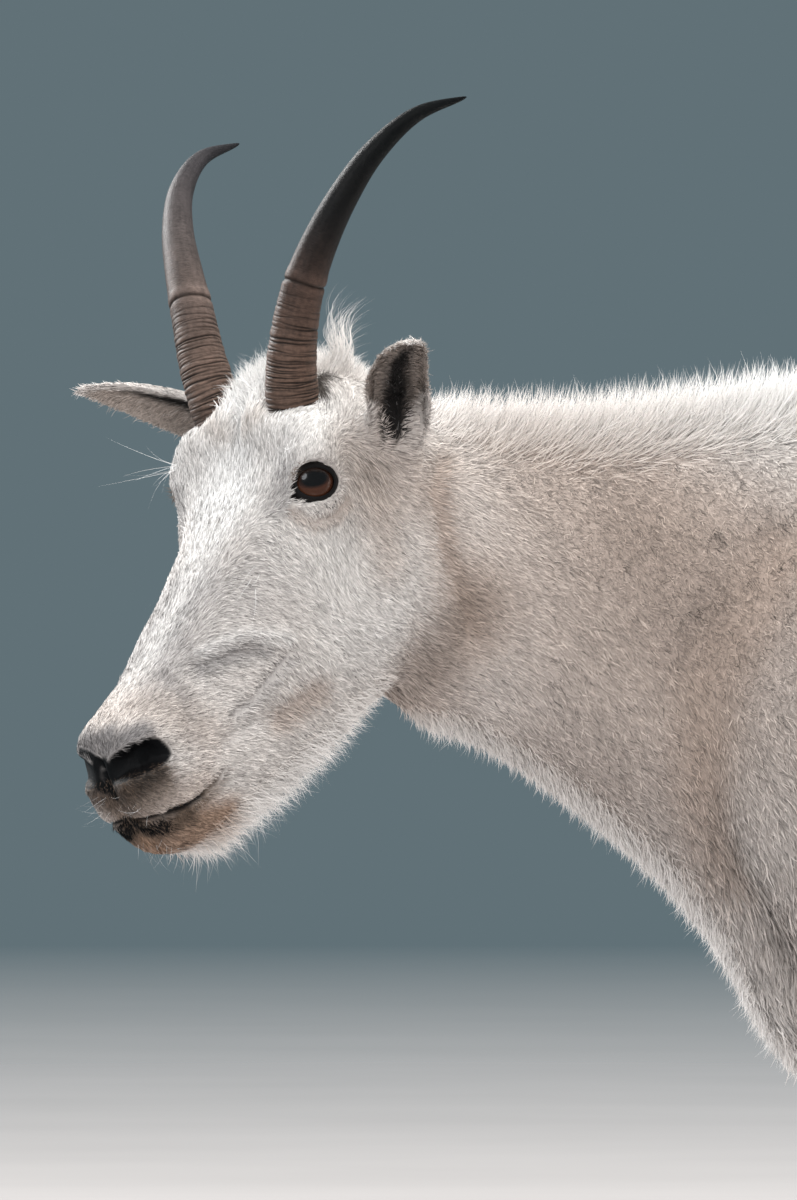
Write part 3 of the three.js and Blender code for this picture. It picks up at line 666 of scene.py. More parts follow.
# Openings seen along their own sight, fore and rise from their middle
eyes = {  # the opening is between the lids, the ball is the part that shows
    "radius": 15.5,
    "lidThick": 2.4,
    "bulge": 0.05,
    "sight": (0.363, 0.91, 0.193),
    "middle": (-1.4, -1.2),
    "opening": [
        (17.9, -8.3), (16.8, -2.6), (14.2, 3.4), (10.8, 8.8), (5.6, 12.2), (-0.5, 12.6), (-7.9, 9),
        (-13, 3.7), (-14.5, -1.5), (-11.3, -6.9), (-5.3, -10.3), (3.4, -11), (11.5, -9.6),
    ],
    "ball": [
        (11.6, -0.5), (11.4, 2.5), (7.2, 7.5), (3.4, 8.3), (-0.3, 8.1), (-4.7, 6.7), (-7.9, 4.5),
        (-10.3, 1.6), (-10.7, -1.7), (-8.4, -5.7), (-4.2, -7.9), (0.7, -8.3), (5, -7.3),
        (8.3, -5.5), (10.7, -2.8),
    ],
    "pupil": (8.4, 4.6),
}
nostril = {
    "at": (178, 23.4, -80.4),
    "sight": (0.568, 0.789, 0.2336),
    "opening": [
        (18.9, 1.3), (15.1, 5.3), (8.7, 7.7), (-0.8, 10), (-8.2, 11.7), (-15.1, 10), (-19.5, 4.7),
        (-20.9, -0.6), (-17.8, -4.5), (-10, -7.3), (-2, -8.7), (6.8, -10.3), (14, -11.1),
        (18.5, -11.5),
    ],
    "depth": 10,
    "farShare": 0.35,  # the far nostril's depth, a share of the near one's
}


def lookFrame(look, side):  # rows: fore, rise, sight; in the head's frame
    sight = unit(np.array(look) * (1, side, 1))
    fore = np.array((0.93, 0, 0.37))
    fore = unit(fore - sight * sight.dot(fore))
    return np.array([fore, np.cross(fore, sight) * side, sight])


def eyeFrame(side):
    return lookFrame(eyes["sight"], side)


def eyeCentre(side):
    return np.array((eyeX, side * eyeY, eyeZ))


def outlineAt(outline, angles):  # how far the edge of an opening is from its middle
    corners = np.array(outline, float)
    turn = np.arctan2(corners[:, 1], corners[:, 0])
    order = np.argsort(turn)
    turn, far = turn[order], np.hypot(corners[:, 0], corners[:, 1])[order]
    turn = np.concatenate([turn[-2:] - 2 * np.pi, turn, turn[:2] + 2 * np.pi])
    far = np.concatenate([far[-2:], far, far[:2]])
    return np.interp(angles, turn, far)


def openingShare(points, side):  # 1 at the edge of the opening, less inside it, large behind the eye
    fore, rise, sight = eyeFrame(side)
    away = points - eyeCentre(side)
    a, b = away @ fore - eyes["middle"][0], away @ rise - eyes["middle"][1]
    share = np.hypot(a, b) / outlineAt(eyes["opening"], np.arctan2(b, a))
    return np.where(away @ sight > 0, share, 9), away @ sight


def nostrilShare(mirrored):  # the same for the nostril
    fore, rise, sight = lookFrame(nostril["sight"], 1)
    away = mirrored - nostril["at"]
    a, b = away @ fore, away @ rise
    share = np.hypot(a, b) / outlineAt(nostril["opening"], np.arctan2(b, a))
    return np.where(np.abs(away @ sight) < 22, share, 9)


noseBend = {"from": 108, "over": 84, "shift": 5}  # the nose turns a little to the goat's left


def bend(local):
    shift = noseBend["shift"] * np.clip((local[:, 0] - noseBend["from"]) / noseBend["over"], 0, 2) ** 1.5
    return np.outer(shift, axisY)


def straightened(local):
    return local - bend(local)


def earPlace(points, name):  # share of the ear's length, across and open, each in the ear's own half sizes
    across, opening, lean = earFrame(ears[name])
    away = points - ears[name]["root"]
    up = away @ lean / earLength
    rows = np.array(earRows)
    half, back, push, sway = (np.interp(up, rows[:, 0], rows[:, k]) for k in (1, 2, 4, 5))
    return up, (away @ across - sway * ears[name]["sway"]) / half, (away @ opening - push) / back, back


def earCup(local, normals, name):  # how far each place is in an ear's cup, painted brown as shade, and where on the ear
    up, a, opened, _ = earPlace(local, name)
    wide = np.sqrt(np.clip((up - 0.06) / 0.46, 0.01, 1))
    shifted = a + 0.16 * ears[name]["sway"] * fade(0.6, 0.1, up)
    within = fade(1.02, 0.9, np.abs(shifted) / wide) * (np.abs(opened) < 1.3)
    within = within * fade(0.04, 0.1, up) * fade(0.98, 0.9, up)
    front = fade(-0.1, 0.35, normals @ earFrame(ears[name])[1])
    white = ears[name]["white"]
    return within * front * fade(white + 0.06, white - 0.06, a), up, a


coatDepth = {"share": 0.2, "least": 0.5}


def carve(local, normals):
    mirrored = bothSides(local)
    for path, reach, depth in creases:
        amount = depth * fade(reach * 1.3, reach * 0.35, pathDistance(mirrored, path))
        local = local - normals * amount[:, None]
    for path, reach, depth in hollows:
        local = local - normals * (depth * bulging(mirrored, path, reach))[:, None]
    hole = fade(1.03, 0.55, nostrilShare(mirrored))
    depth = np.where(local[:, 1] > 0, 1, nostril["farShare"]) * nostril["depth"]
    local = local - normals * (depth * hole)[:, None]
    for side in (1, -1):
        share, out = openingShare(local, side)
        sink = fade(1.02, 0.9, share) * np.maximum(out - 2, 0)
        local = local - sink[:, None] * eyeFrame(side)[2]
    for name in ears:
        up, a, opened, back = earPlace(local, name)
        inside = fade(0.96, 0.66, np.abs(a)) * fade(0.03, 0.2, up) * fade(1.02, 0.86, up)
        inside = inside * (np.abs(opened - 0.4) < 0.9)
        bottom = -np.sqrt(np.clip(1 - a * a, 0, 1)) * (1 - 4.5 / back)
        move = np.minimum(bottom - opened, 0) * back * inside
        local = local + move[:, None] * earFrame(ears[name])[1]
    return local


def finerPlaces(local):  # the parts of the head that need a finer skin
    nearEye = np.linalg.norm(bothSides(local) - eyeCentre(1), axis=1) < 32
    return (local[:, 0] > 128) | nearEye


shoulder = {  # the neck dips before it: line, depth and reach of the dip, and of the rise behind it
    "dip": ([(-14, 76, 745), (-56, 88, 665), (-62, 76, 588), (-54, 60, 545), (-16, 70, 500)], 7, 17),
    "rise": ([(24, 90, 745), (-8, 95, 665), (-12, 85, 588), (-4, 70, 530)], 3, 24),
}


def shoulderEdge(body):
    (dipLine, dip, dipReach), (riseLine, rise, riseReach) = shoulder.values()
    mirrored = bothSides(body)
    return dip * bulging(mirrored, dipLine, dipReach) - rise * bulging(mirrored, riseLine, riseReach)


def settleSkin(skin):
    refine(skin, finerPlaces)
    links = readLinks(skin)
    points = readPoints(skin)
    local = toHead(points)
    leant = local[:, 0] + local[:, 2] * skinSizes["seamLean"]
    away = (leant - skinSizes["sewAt"] - skinSizes["seamShift"]) / skinSizes["seamReach"]
    seam = np.exp(-(away**2))
    points = relaxed(points, links, 0.25 + 0.35 * fade(*skinSizes["bodyFrom"], local[:, 0]), 12)
    behindJaw = fade(*skinSizes["jawReach"], pathDistance(bothSides(local), jawEdge))
    behindJaw = behindJaw * fade(*skinSizes["behindJaw"], local[:, 0])
    points = relaxed(points, links, 0.6 * np.clip(seam, 0, 1), 30)
    points = relaxed(points, links, 0.6 * behindJaw, 40)
    writePoints(skin, points)
    _, length = combed(points)
    depth = coatDepth["least"] * mm + coatDepth["share"] * length
    depth += shoulderEdge(toBody(points)) * mm
    points -= readNormals(skin) * depth[:, None]
    writePoints(skin, relaxed(points, links, 0.3, 3))
    plain, normals = readPoints(skin), readNormals(skin)
    local = carve(toHead(plain), normals @ headAxes)
    smooth = relaxed(local, links, 0.25, 1)
    writePoints(skin, fromHead(smooth + bend(smooth)))
    return plain, normals


skin = makeSkin()
plainSkin = settleSkin(skin)  # before its folds and openings, for placing the marks
print("skin done", len(skin.data.polygons))


# Colours of skin and coat, with two dark ones for painted shade and painted shadow
colours = {
    "ivory": (0.775, 0.73, 0.7),
    "white": (0.88, 0.87, 0.86),
    "taupe": (0.5, 0.4, 0.34),
    # a darker taupe, painted where shade falls
    "dusk": (0.34, 0.27, 0.23),
    "beige": (0.60, 0.49, 0.41),
    "tan": (0.36, 0.23, 0.155),
    "grey": (0.24, 0.23, 0.235),
    "umber": (0.13, 0.09, 0.065),
    # near black, painted where shadow falls
    "soot": (0.045, 0.036, 0.03),
    "black": (0.005, 0.0045, 0.005),
    # painted shade inside the ears' cups
    "earCupShade": (0.4, 0.34, 0.3),
}

# Marks, on both sides: path, reach, colour, strength, and how soft the edge is where it isn't softEdge
softEdge = 0.9
headMarks = [
    ([(-32, 0, 41), (-9, 0, 24), (15, 6, 4)], 28, "white", 0.95, 0.8),
    # painted highlight along the top of the nose
    ([(15, 6, 4), (60, 4, -16), (120, 0, -42)], 14, "white", 0.6),
    ([(8, 54, 22), (-14, 58, 26), (-30, 50, 20)], 20, "white", 0.7),
    ([(-39, 55, -1), (-38, 57, -20), (-33, 55, -45), (-25, 54, -67)], 15, "taupe", 0.42),
    ([(11, 56, -46), (20, 50, -85), (-19, 45, -110)], 26, "white", 0.35),
    ([(-24, 60, -6), (-34, 58, -28)], 22, "taupe", 0.32),
    ([(-62, 50, -20), (-66, 50, -40)], 20, "taupe", 0.5),
    # painted shade along the jaw's edge, where the cheek meets the neck
    (jawEdge, 16, "taupe", 0.4),
    (jawEdge, 5, "taupe", 0.8),
    ([(-33, 5, -153), (-36, 27, -139), (-69, 50, -119)], 26, "taupe", 0.7),
    ([(-36, 27, -139), (-49, 43, -124), (-69, 50, -119)], 15, "umber", 0.35),
    ([(144, 20, -53), (122, 18, -45), (95, 16, -34), (74, 15, -25)], 12, "grey", 0.36),
    ([(112, 24, -50), (79, 30, -40), (51, 38, -28)], 20, "grey", 0.26),
    # painted shade in the cheek's creases, and a painted highlight on the crest between them
    (cheekLines[0], 5, "grey", 0.46),
    (cheekCrest, 4, "white", 0.5),
    (cheekLines[1], 3.4, "grey", 0.42),
    (cheekLines[2], 9, "taupe", 0.7),
    (cheekLines[3], 5, "grey", 0.16),
    (muzzleEdge, 6, "grey", 0.25),
    ([(-15, 12, 28), (-19, 22, 32)], 8, "beige", 0.4),
    ([(170, 0, -56), (161, 18, -57), (149, 30, -68), (137, 35, -89)], 15, "taupe", 0.4),
    ([(189, 4, -103), (186, 22, -107), (174, 32, -111), (155, 34, -114)], 12, "taupe", 0.6),
    ([(187, 0, -122), (182, 14, -132), (162, 25, -135), (144, 22, -142)], 15, "tan", 0.92, 0.6),
    ([(182, 12, -62), (184, 0, -64), (186, 8, -69), (181, 23, -66), (171, 29, -67)], 6, "grey", 0.85),
    # painted shadow under the nostril
    ([(190, -4, -98), (189, 8, -102), (186, 24, -101), (177, 31, -100)], 9, "umber", 0.72),
    (underNostril, 8, "umber", 0.85),
    (underNostril[1:], 5, "soot", 0.85),
    ([(189, 6, -81), (190, 8, -91)], 5, "grey", 0.7),
    ([(189, 14, -88), (190, 6, -94)], 7, "umber", 0.75),
    ([(186, 0, -126), (182, 0, -138)], 9, "tan", 0.9, 0.8),
    ([(190, 0, -114), (187, 8, -120), (186, 14, -121), (183, 22, -122), (171, 30, -123)],
     7, "umber", 0.97, 0.6),
    ([(153, 32, -120), (140, 33, -119)], 4, "umber", 0.5, 0.8),
    (farLip, 9, "ivory", 0.9),
    (mouthLine[:6], 2.2, "black", 0.97, 0.5),
    (mouthLine[5:], 1.6, "umber", 0.7),
    (farNostril, 2.6, "black", 1, 0.35),
    ([(187, 4, -75), (189, 8, -84), (190, 4, -90)], 4, "black", 1, 0.5),
    ([(188, 1, -82), (190, 0, -95)], 3.2, "black", 1, 0.5),
    ([(19, 44, -4), (15, 50, 3), (8, 53, 10)], 7, "grey", 0.45),
    # painted shade in the crease under the eye
    (lidFold, 4, "taupe", 0.65),
    ([(33, 4, -6), (33, 4, -6)], 3.4, "umber", 0.85, 0.5),
    # painted shadow beside the horn's base
    ([(-68, 30, 35), (-56, 38, 37), (-45, 47, 32)], 6, "soot", 0.97, 0.5),
]
# Where dark hairs mix in: path, reach, how many of the hairs
fleckMarks = [
    ([(150, 16, -54), (95, 16, -34), (50, 22, -22), (24, 40, -4)], 20, 0.14),
    ([(182, 14, -62), (150, 30, -70), (160, 36, -100)], 22, 0.3),
    (underNostril, 12, 0.45),
    (mouthLine[1:6], 8, 0.25),
    ([(182, 14, -132), (162, 25, -135)], 14, 0.25),
    (cheekLines[0], 9, 0.3),
    (cheekLines[1], 9, 0.25),
    (cheekLines[2], 9, 0.15),
    ([(20, 54, -10), (0, 62, -23)], 10, 0.12),
]
bodyMarks = [
    # the top of the neck and back whiter, partly the pale mane and partly painted light from above
    ([(-225, 84, 830), (-140, 40, 812), (-72, 14, 820), (0, 0, 832), (80, 0, 840), (300, 0, 806)],
     42, "white", 0.85, 0.7),
    # painted light on the upper shoulder
    ([(30, 95, 735), (0, 92, 680)], 40, "white", 0.75, 0.8),
    ([(-139, 76, 782), (-92, 60, 740), (-33, 83, 699)], 75, "taupe", 0.8),
    ([(-139, 90, 688), (-92, 82, 640)], 60, "taupe", 0.55),
    ([(-70, 90, 768), (-20, 95, 752), (20, 100, 735)], 40, "taupe", 0.6),
    # painted shade: before the shoulder, on the lower shoulder and chest, along the dip in front of the
    # shoulder, and on the lower neck
    ([(-92, 80, 738), (-58, 88, 700)], 32, "dusk", 0.42),
    ([(25, 95, 640), (2, 85, 590), (-10, 70, 520)], 46, "dusk", 0.5),
    ([(-10, 76, 740), (-52, 88, 665), (-58, 76, 588), (-50, 60, 549)], 18, "taupe", 0.95),
    ([(-225, 60, 672), (-175, 60, 642), (-115, 60, 592), (-75, 60, 545)], 36, "dusk", 0.42),
    ([(60, 90, 390), (76, 86, 268)], 40, "beige", 0.1),
    ([(60, 90, 60), (680, 86, 60)], 30, "beige", 0.3),
]


# Wool of the upper neck before the shoulder, and the thin cracks in it, running up and back, painted dark as
# shade
wool = {
    "path": [(-130, 50, 795), (-60, 78, 765), (-10, 95, 715)], "edge": (85, 55),
    "across": (-0.57, 0, 0.82), "apart": 2.6, "bends": ((4, 18, 31), (1.3, 6, 32)),
    "thin": (0.86, 0.97), "gaps": (-0.1, 0.25), "back": (-170, -60), "above": (665, 715), "dark": 0.66,
}


def woolly(body):  # how woolly the coat is at each place of the body
    return fade(*wool["edge"], pathDistance(bothSides(body), wool["path"]))


def partings(body):  # how deep each place lies in a crack
    phase = body @ np.array(wool["across"]) / wool["apart"]
    for amount, size, seed in wool["bends"]:
        phase = phase + amount * cloud(body, size, seed)
    thin = fade(*wool["thin"], np.sin(phase)) * fade(*wool["gaps"], cloud(body, 12, 33))
    return thin * fade(*wool["back"], body[:, 0]) * fade(*wool["above"], body[:, 2]) * woolly(body)


def painted(points, normals):  # colour of the coat at each place of the skin, and how bare it is
    local, body = toHead(points), toBody(points)
    tint = np.tile(colours["ivory"], (len(points), 1))
    bare = np.zeros(len(points))

    def lay(weight, colour):
        tint[:] = tint + weight[:, None] * (np.array(colours[colour]) - tint)

    for marks, spots in ((bodyMarks, body), (headMarks, local)):
        mirrored = bothSides(spots)
        for path, reach, colour, strength, *soft in marks:
            soft = soft[0] if soft else softEdge
            placed = spots if path is farNostril or path is farLip else mirrored
            weight = strength * fade(reach * (1 + soft), reach * (1 - soft), pathDistance(placed, path))
            lay(weight, colour)
            if colour == "black":
                bare = np.maximum(bare, weight)
    hole = fade(1.05, 0.93, nostrilShare(bothSides(local)))
    lay(hole, "black")
    bare = np.maximum(bare, hole)
    for name in ears:
        cup, up, a = earCup(local, normals @ headAxes, name)
        # Painted shade in the ear's hollow: brown over the cup and black down its middle; umber near its
        # edges
        lay(cup * 0.95, "earCupShade")
        wide = np.clip(0.62 - 0.5 * up, 0.12, 1)  # of the dark middle
        dark = fade(1, 0.35, np.abs(a - 0.35 * (up - 0.42)) / wide) * fade(0.9, 0.66, up)
        lay(cup * 0.97 * dark, "black")
        lay(cup * 0.5 * fade(0.88, 0.97, np.abs(a)), "umber")
    tint *= (1 + 0.05 * cloud(local, 14, 3) + 0.035 * cloud(local, 4, 5))[:, None]
    fleck = np.zeros(len(points))
    for path, reach, amount in fleckMarks:
        near = fade(reach * 1.5, reach * 0.3, pathDistance(bothSides(local), path))
        fleck = np.maximum(fleck, amount * near)
    return np.clip(tint, 0.004, 0.95), bare, fleck


class Wire:  # a socket that can be reckoned with
    def __init__(self, tree, socket):
        self.tree, self.socket = tree, socket

    def node(self, kind, settings, values, out=0):
        made = self.tree.nodes.new(kind)
        for name, value in settings.items():
            setattr(made, name, value)
        for name, value in values.items():
            if isinstance(value, Wire):
                self.tree.links.new(value.socket, made.inputs[name])
            else:
                made.inputs[name].default_value = value
        return Wire(self.tree, made.outputs[out])

    def maths(self, operation, first, second):
        return self.node("ShaderNodeMath", {"operation": operation}, {0: first, 1: second})

    def __add__(self, other):
        return self.maths("ADD", self, other)

    def __sub__(self, other):
        return self.maths("SUBTRACT", self, other)

    def __mul__(self, other):
        return self.maths("MULTIPLY", self, other)

    def __truediv__(self, other):
        return self.maths("DIVIDE", self, other)

    def __rtruediv__(self, other):
        return self.maths("DIVIDE", other, self)

    def __rsub__(self, other):
        return self.maths("SUBTRACT", other, self)

    def __pow__(self, other):
        return self.maths("POWER", self, other)

    __radd__ = __add__
    __rmul__ = __mul__

    def between(self, low, high):  # 0 to 1 as the value runs from low to high
        values = {"Value": self, "From Min": low, "From Max": high}
        return self.node("ShaderNodeMapRange", {"clamp": True}, values)

    def mixed(self, first, second):  # this value picks between two colours
        ends = [(*c, 1) if isinstance(c, tuple) else c for c in (first, second)]
        return self.node("ShaderNodeMix", {"data_type": "RGBA"}, {0: self, 6: ends[0], 7: ends[1]}, 2)

    def times(self, colour):  # this colour times another
        settings = {"data_type": "RGBA", "blend_type": "MULTIPLY"}
        return self.node("ShaderNodeMix", settings, {0: 1.0, 6: self, 7: colour}, 2)

    def parts(self):  # the x and y of this vector
        x = self.node("ShaderNodeSeparateXYZ", {}, {"Vector": self})
        return x, Wire(self.tree, x.socket.node.outputs[1])

    def shade(self, dark, light):  # a grey from this value
        return self.between(0, 1).mixed((dark, dark, dark), (light, light, light))


def finish(name, constants):  # a new material, its tree's start and its main shader
    made = bpy.data.materials.new(name)
    made.use_nodes = True
    shader = made.node_tree.nodes["Principled BSDF"]
    for socket, value in constants.items():
        shader.inputs[socket].default_value = value
    return made, Wire(made.node_tree, None), shader


def plug(shader, **wires):
    sockets = {"colour": "Base Color", "rough": "Roughness", "normal": "Normal", "alpha": "Alpha"}
    for name, wire in wires.items():
        wire.tree.links.new(wire.socket, shader.inputs[sockets[name]])


def attribute(start, name, out=0):
    return start.node("ShaderNodeAttribute", {"attribute_name": name}, {}, out)


def objectPlace(start, scale=(1, 1, 1)):
    place = start.node("ShaderNodeTexCoord", {}, {}, 3)
    return start.node("ShaderNodeMapping", {}, {"Vector": place, "Scale": scale})


def noise(start, vector, scale, detail=3, rough=0.55):
    values = {"Vector": vector, "Scale": scale, "Detail": detail, "Roughness": rough}
    return start.node("ShaderNodeTexNoise", {"noise_dimensions": "3D"}, values)


def bumped(start, height, strength, distance):
    return start.node("ShaderNodeBump", {}, {"Height": height, "Strength": strength, "Distance": distance})


def coatFinish():
    made, start, shader = finish("coat", {"Roughness": 0.62, "Specular IOR Level": 0.28})
    strand = noise(start, objectPlace(start), 900, 1)
    plug(shader, colour=attribute(start, "tint").times(strand.shade(0.8, 1.04)))
    return made


def skinFinish():
    made, start, shader = finish("skin", {"Specular IOR Level": 0.25})
    bare = attribute(start, "bare", 2)
    down = noise(start, objectPlace(start, (1, 1, 0.25)), 700, 2)
    grain = noise(start, objectPlace(start), 1500, 2)
    # the skin is painted darker than the coat above it, as shade in the gaps between tufts
    plug(shader, colour=attribute(start, "tint").times(down.shade(0.45, 0.85)))
    plug(shader, rough=0.8 - bare * 0.2)
    height = down * (1 - bare) + grain * bare * 0.35
    plug(shader, normal=bumped(start, height, 0.8, 0.0012))
    return made


def giveFinish(piece, material):
    piece.data.materials.clear()
    piece.data.materials.append(material)


def dressed(piece, material):  # smooth and in its material, attached to the one body
    piece.data.polygons.foreach_set("use_smooth", np.ones(len(piece.data.polygons), bool))
    giveFinish(piece, material)
    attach(piece, "root")


coatMaterial = coatFinish()


def bowAlong(points, normals, lie, links):  # bend of the skin along the lie, per metre; below 0 in a hollow
    starts, ends = np.concatenate([links, links[:, ::-1]]).T
    step = points[ends] - points[starts]
    far = (step**2).sum(1)
    turn = ((normals[ends] - normals[starts]) * step).sum(1) / far
    weight = ((step * lie[starts]).sum(1) ** 2 / far) ** 2 + 1e-6
    count = len(points)
    total = np.bincount(starts, turn * weight, count) / np.bincount(starts, weight, count)
    return np.clip(relaxed(total[:, None], links, 0.5, 3)[:, 0], -90, 90)


# In the ears' cups the coat points outward and is shorter at the edges; bare skin has none
cupCoat = {
    "across": 2.5, "lean": 0.5, "out": 0.15, "pull": 6, "short": 0.15, "edgeShort": 0.5, "edge": (0.55, 0.9),
}
bareSkin = {"eye": 0.99, "lips": 1.2, "hoof": 1, "share": 1.4, "less": 0.3}


def skinFields(skin):  # what the coat needs to know at each point of the skin
    points, normals = readPoints(skin), readNormals(skin)
    lie, length = combed(points)
    tint, bare, fleck = painted(plainSkin[0], plainSkin[1])
    local, body = toHead(plainSkin[0]), toBody(points)
    writeTint(skin, tint)
    writeField(skin, "bare", "FLOAT", bare)
    for name in ears:
        cup, _, a = earCup(local, plainSkin[1] @ headAxes, name)
        across, opening, lean = earFrame(ears[name])
        spread = np.outer(np.clip(a * cupCoat["across"], -1, 1), across)
        spread = spread + lean * cupCoat["lean"] + opening * cupCoat["out"]
        lie = unit(lie + cup[:, None] * cupCoat["pull"] * (spread @ headAxes.T))
        edgeShort = cupCoat["edgeShort"] * fade(*cupCoat["edge"], np.abs(a))
        length = length * (1 - cup * (cupCoat["short"] + edgeShort))
    bow = bowAlong(points, normals, lie, readLinks(skin))
    inEye = np.minimum(openingShare(local, 1)[0], openingShare(local, -1)[0]) < bareSkin["eye"]
    lips = pathDistance(bothSides(local), mouthLine) < bareSkin["lips"]
    bald = np.clip(bare * bareSkin["share"] - bareSkin["less"], 0, 1)
    bald = np.maximum(bald, inEye | lips | (body[:, 2] < coronet + bareSkin["hoof"]))
    return {
        "spot": points, "normal": normals, "lie": lie, "length": length, "tint": tint, "bald": bald,
        "bow": bow, "fleck": fleck,
    }


def triangles(skin):  # the skin's triangles: their points, and their places in its OFBake map
    skin.data.uv_layers.new(name="OFBake")
    unwrapping = {"angle_limit": math.radians(66), "island_margin": 0.002}
    edited(skin, (bpy.ops.uv.smart_project, unwrapping))
    skin.data.calc_loop_triangles()
    loops = readRows(skin.data.loop_triangles, "loops", 3, int)
    uvs = readRows(skin.data.uv_layers["OFBake"].data, "uv", 2)
    return readRows(skin.data.loop_triangles, "vertices", 3, int), uvs[loops]


corners, cornerUvs = triangles(skin)
fields = skinFields(skin)
edges = fields["spot"][corners]
middles = edges.mean(1)
areas = np.linalg.norm(np.cross(edges[:, 1] - edges[:, 0], edges[:, 2] - edges[:, 0]), axis=1) / 2
furryAreas = areas * (1 - fields["bald"][corners].mean(1))
dressed(skin, skinFinish())
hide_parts("head", "neck", "torso", "tail", "ear_left", "ear_right", *(leg["name"] for leg in legs))
print("markings done")


# The coat: width of a tuft, how it stands, turns and follows a hollow or a swell, its shades, its patch in
# the map, and the triangles of a piece
coat = {
    "widthShare": 0.05, "widthLeast": 0.6, "taper": 1.6, "lift": 0.3, "liftVary": 0.45, "sink": 0.07,
    "turn": 0.7, "follow": (0.6, 0.25), "overlap": 0.6, "lengthVary": (0.7, 1.3), "clumpEdge": 0.55,
    "lightUp": 1.5, "fleckDark": (0.45, 0.75), "patchWide": 0.0015, "patchLong": 0.003, "limit": 185000,
}


def plant(weights, count, rng):  # roots spread evenly by weight over the triangles of the skin
    total = np.cumsum(weights)
    ticks = (np.arange(count) + rng.random(count)) / count * total[-1]
    chosen = np.minimum(np.searchsorted(total, ticks), len(weights) - 1)
    a, b = rng.random((2, count))
    over = a + b > 1
    a, b = np.where(over, 1 - a, a), np.where(over, 1 - b, b)
    shares = np.stack([1 - a - b, a, b], 1)
    rows = corners[chosen]
    hair = {name: np.einsum("ij,ij...->i...", shares, field[rows]) for name, field in fields.items()}
    hair["uv"] = np.einsum("ij,ijk->ik", shares, cornerUvs[chosen])
    hair["normal"] = unit(hair["normal"])
    return hair


def onSurface(lie, normal):
    return unit(lie - normal * (lie * normal).sum(1, keepdims=True))


def clumpPull(spots, size, seed):  # from each root to the middle of its clump
    cells = np.floor(spots / size).astype(int)
    best = np.full(len(spots), 1e9)
    pull = np.zeros_like(spots)
    for step in np.ndindex(3, 3, 3):
        cell = cells + np.array(step) - 1
        middle = (cell + np.stack([lattice(cell, seed + k) for k in range(3)], 1)) * size
        away = np.linalg.norm(middle - spots, axis=1)
        nearer = away < best
        best[nearer] = away[nearer]
        pull[nearer] = (middle - spots)[nearer]
    return pull


def tuftMesh(name, hair, style, rng):  # each tuft a thin tapered strip of a few triangles, bent along its lie
    style = {**tuftLook, **style}
    count, steps = len(hair["spot"]), style["steps"]
    normal, length, width = hair["normal"], hair["length"], hair["width"]
    lie = onSurface(hair["lie"] + rng.normal(0, style["spread"], (count, 3)), normal)
    side = unit(np.cross(lie, normal))
    turn = rng.uniform(-coat["turn"], coat["turn"], count)[:, None]
    flat = side * np.cos(turn) + normal * np.sin(turn)
    lift = hair["lift"] * rng.uniform(1 - coat["liftVary"], 1 + coat["liftVary"], count)
    curl = hair.get("curl", style["curl"]) * rng.normal(0, 1, count)
    pull = clumpPull(hair["spot"], style["clumpSize"] * mm, 11) * style["clump"]
    pull -= normal * (pull * normal).sum(1, keepdims=True)
    away = np.linalg.norm(pull, axis=1) / (style["clump"] * style["clumpSize"] * coat["clumpEdge"] * mm)
    follow = np.where(hair["bow"] < 0, *coat["follow"])
    rows, shades = [], []
    for step in range(steps + 1):
        t = step / steps
        out = (lift * t * (1 - style["fall"] * t))[:, None]
        bend = (curl * t * t)[:, None]
        spot = hair["spot"] + length[:, None] * (lie * t + normal * (out - coat["sink"]) + side * bend)
        spot += pull * t - normal * (hair["bow"] * follow * (length * t) ** 2)[:, None]
        spot += np.outer(np.full(count, np.sin(t * 6.5) * style["wave"] * t * mm), waveAxis)
        half = (width * 0.5 * (1 - t ** coat["taper"]))[:, None]
        # painted shade at the root, lighter toward the tip
        shade = style["root"] + (style["tip"] - style["root"]) * min(1, t * coat["lightUp"])
        rows += [spot] if step == steps else [spot - flat * half, spot + flat * half]
        shades += [shade] if step == steps else [shade, shade]
    points = np.stack(rows, 1)
    each = points.shape[1]
    pattern = []
    for step in range(steps - 1):
        a = step * 2
        pattern += [(a, a + 1, a + 3), (a, a + 3, a + 2)]
    pattern.append((each - 3, each - 2, each - 1))
    faces = (np.array(pattern)[None] + (np.arange(count) * each)[:, None, None]).reshape(-1, 3)
    # clumps painted darker toward their edges, as shade between them
    vary = (1 + style["vary"] * rng.uniform(-1, 1, count)) * (1 - style["crack"] * np.clip(away, 0, 1) ** 2)
    dark = rng.random(count) < style["flecks"] + hair["fleck"]
    vary *= np.where(dark, rng.uniform(*coat["fleckDark"], count), 1)
    tint = hair["tint"][:, None, :] * np.array(shades)[None, :, None] * vary[:, None, None]
    wide, long = coat["patchWide"], coat["patchLong"]
    patch = [(wide * (k % 2 if k < each - 1 else 0.5), long * (k // 2) / steps) for k in range(each)]
    uvs = (hair["uv"][:, None, :] + np.array(patch)[None] - (wide / 2, long / 2)).reshape(-1, 2)
    mesh = bpy.data.meshes.new(name)
    mesh.vertices.add(count * each)
    mesh.vertices.foreach_set("co", points.ravel())
    mesh.loops.add(faces.size)
    mesh.loops.foreach_set("vertex_index", faces.ravel())
    mesh.polygons.add(len(faces))
    mesh.polygons.foreach_set("loop_start", np.arange(len(faces)) * 3)
    mesh.update(calc_edges=True)
    layer = mesh.uv_layers.new(name="OFBake")
    layer.data.foreach_set("uv", uvs[faces.ravel()].ravel())
    piece = linked(name, mesh)
    writeTint(piece, np.clip(tint, 0.003, 0.96).reshape(-1, 3))
    dressed(piece, coatMaterial)
    print(name, len(faces))


# Looks of tufts: steps of one, painted shade at the edges of the clumps, share of dark flecks, painted shade
# at the root and a lighter tip
tuftLook = {
    "steps": 2, "curl": 0.12, "spread": 0.2, "fall": 0.55, "root": 0.5, "tip": 1.06, "vary": 0.14, "crack": 0,
    "flecks": 0.05, "wave": 0,
}
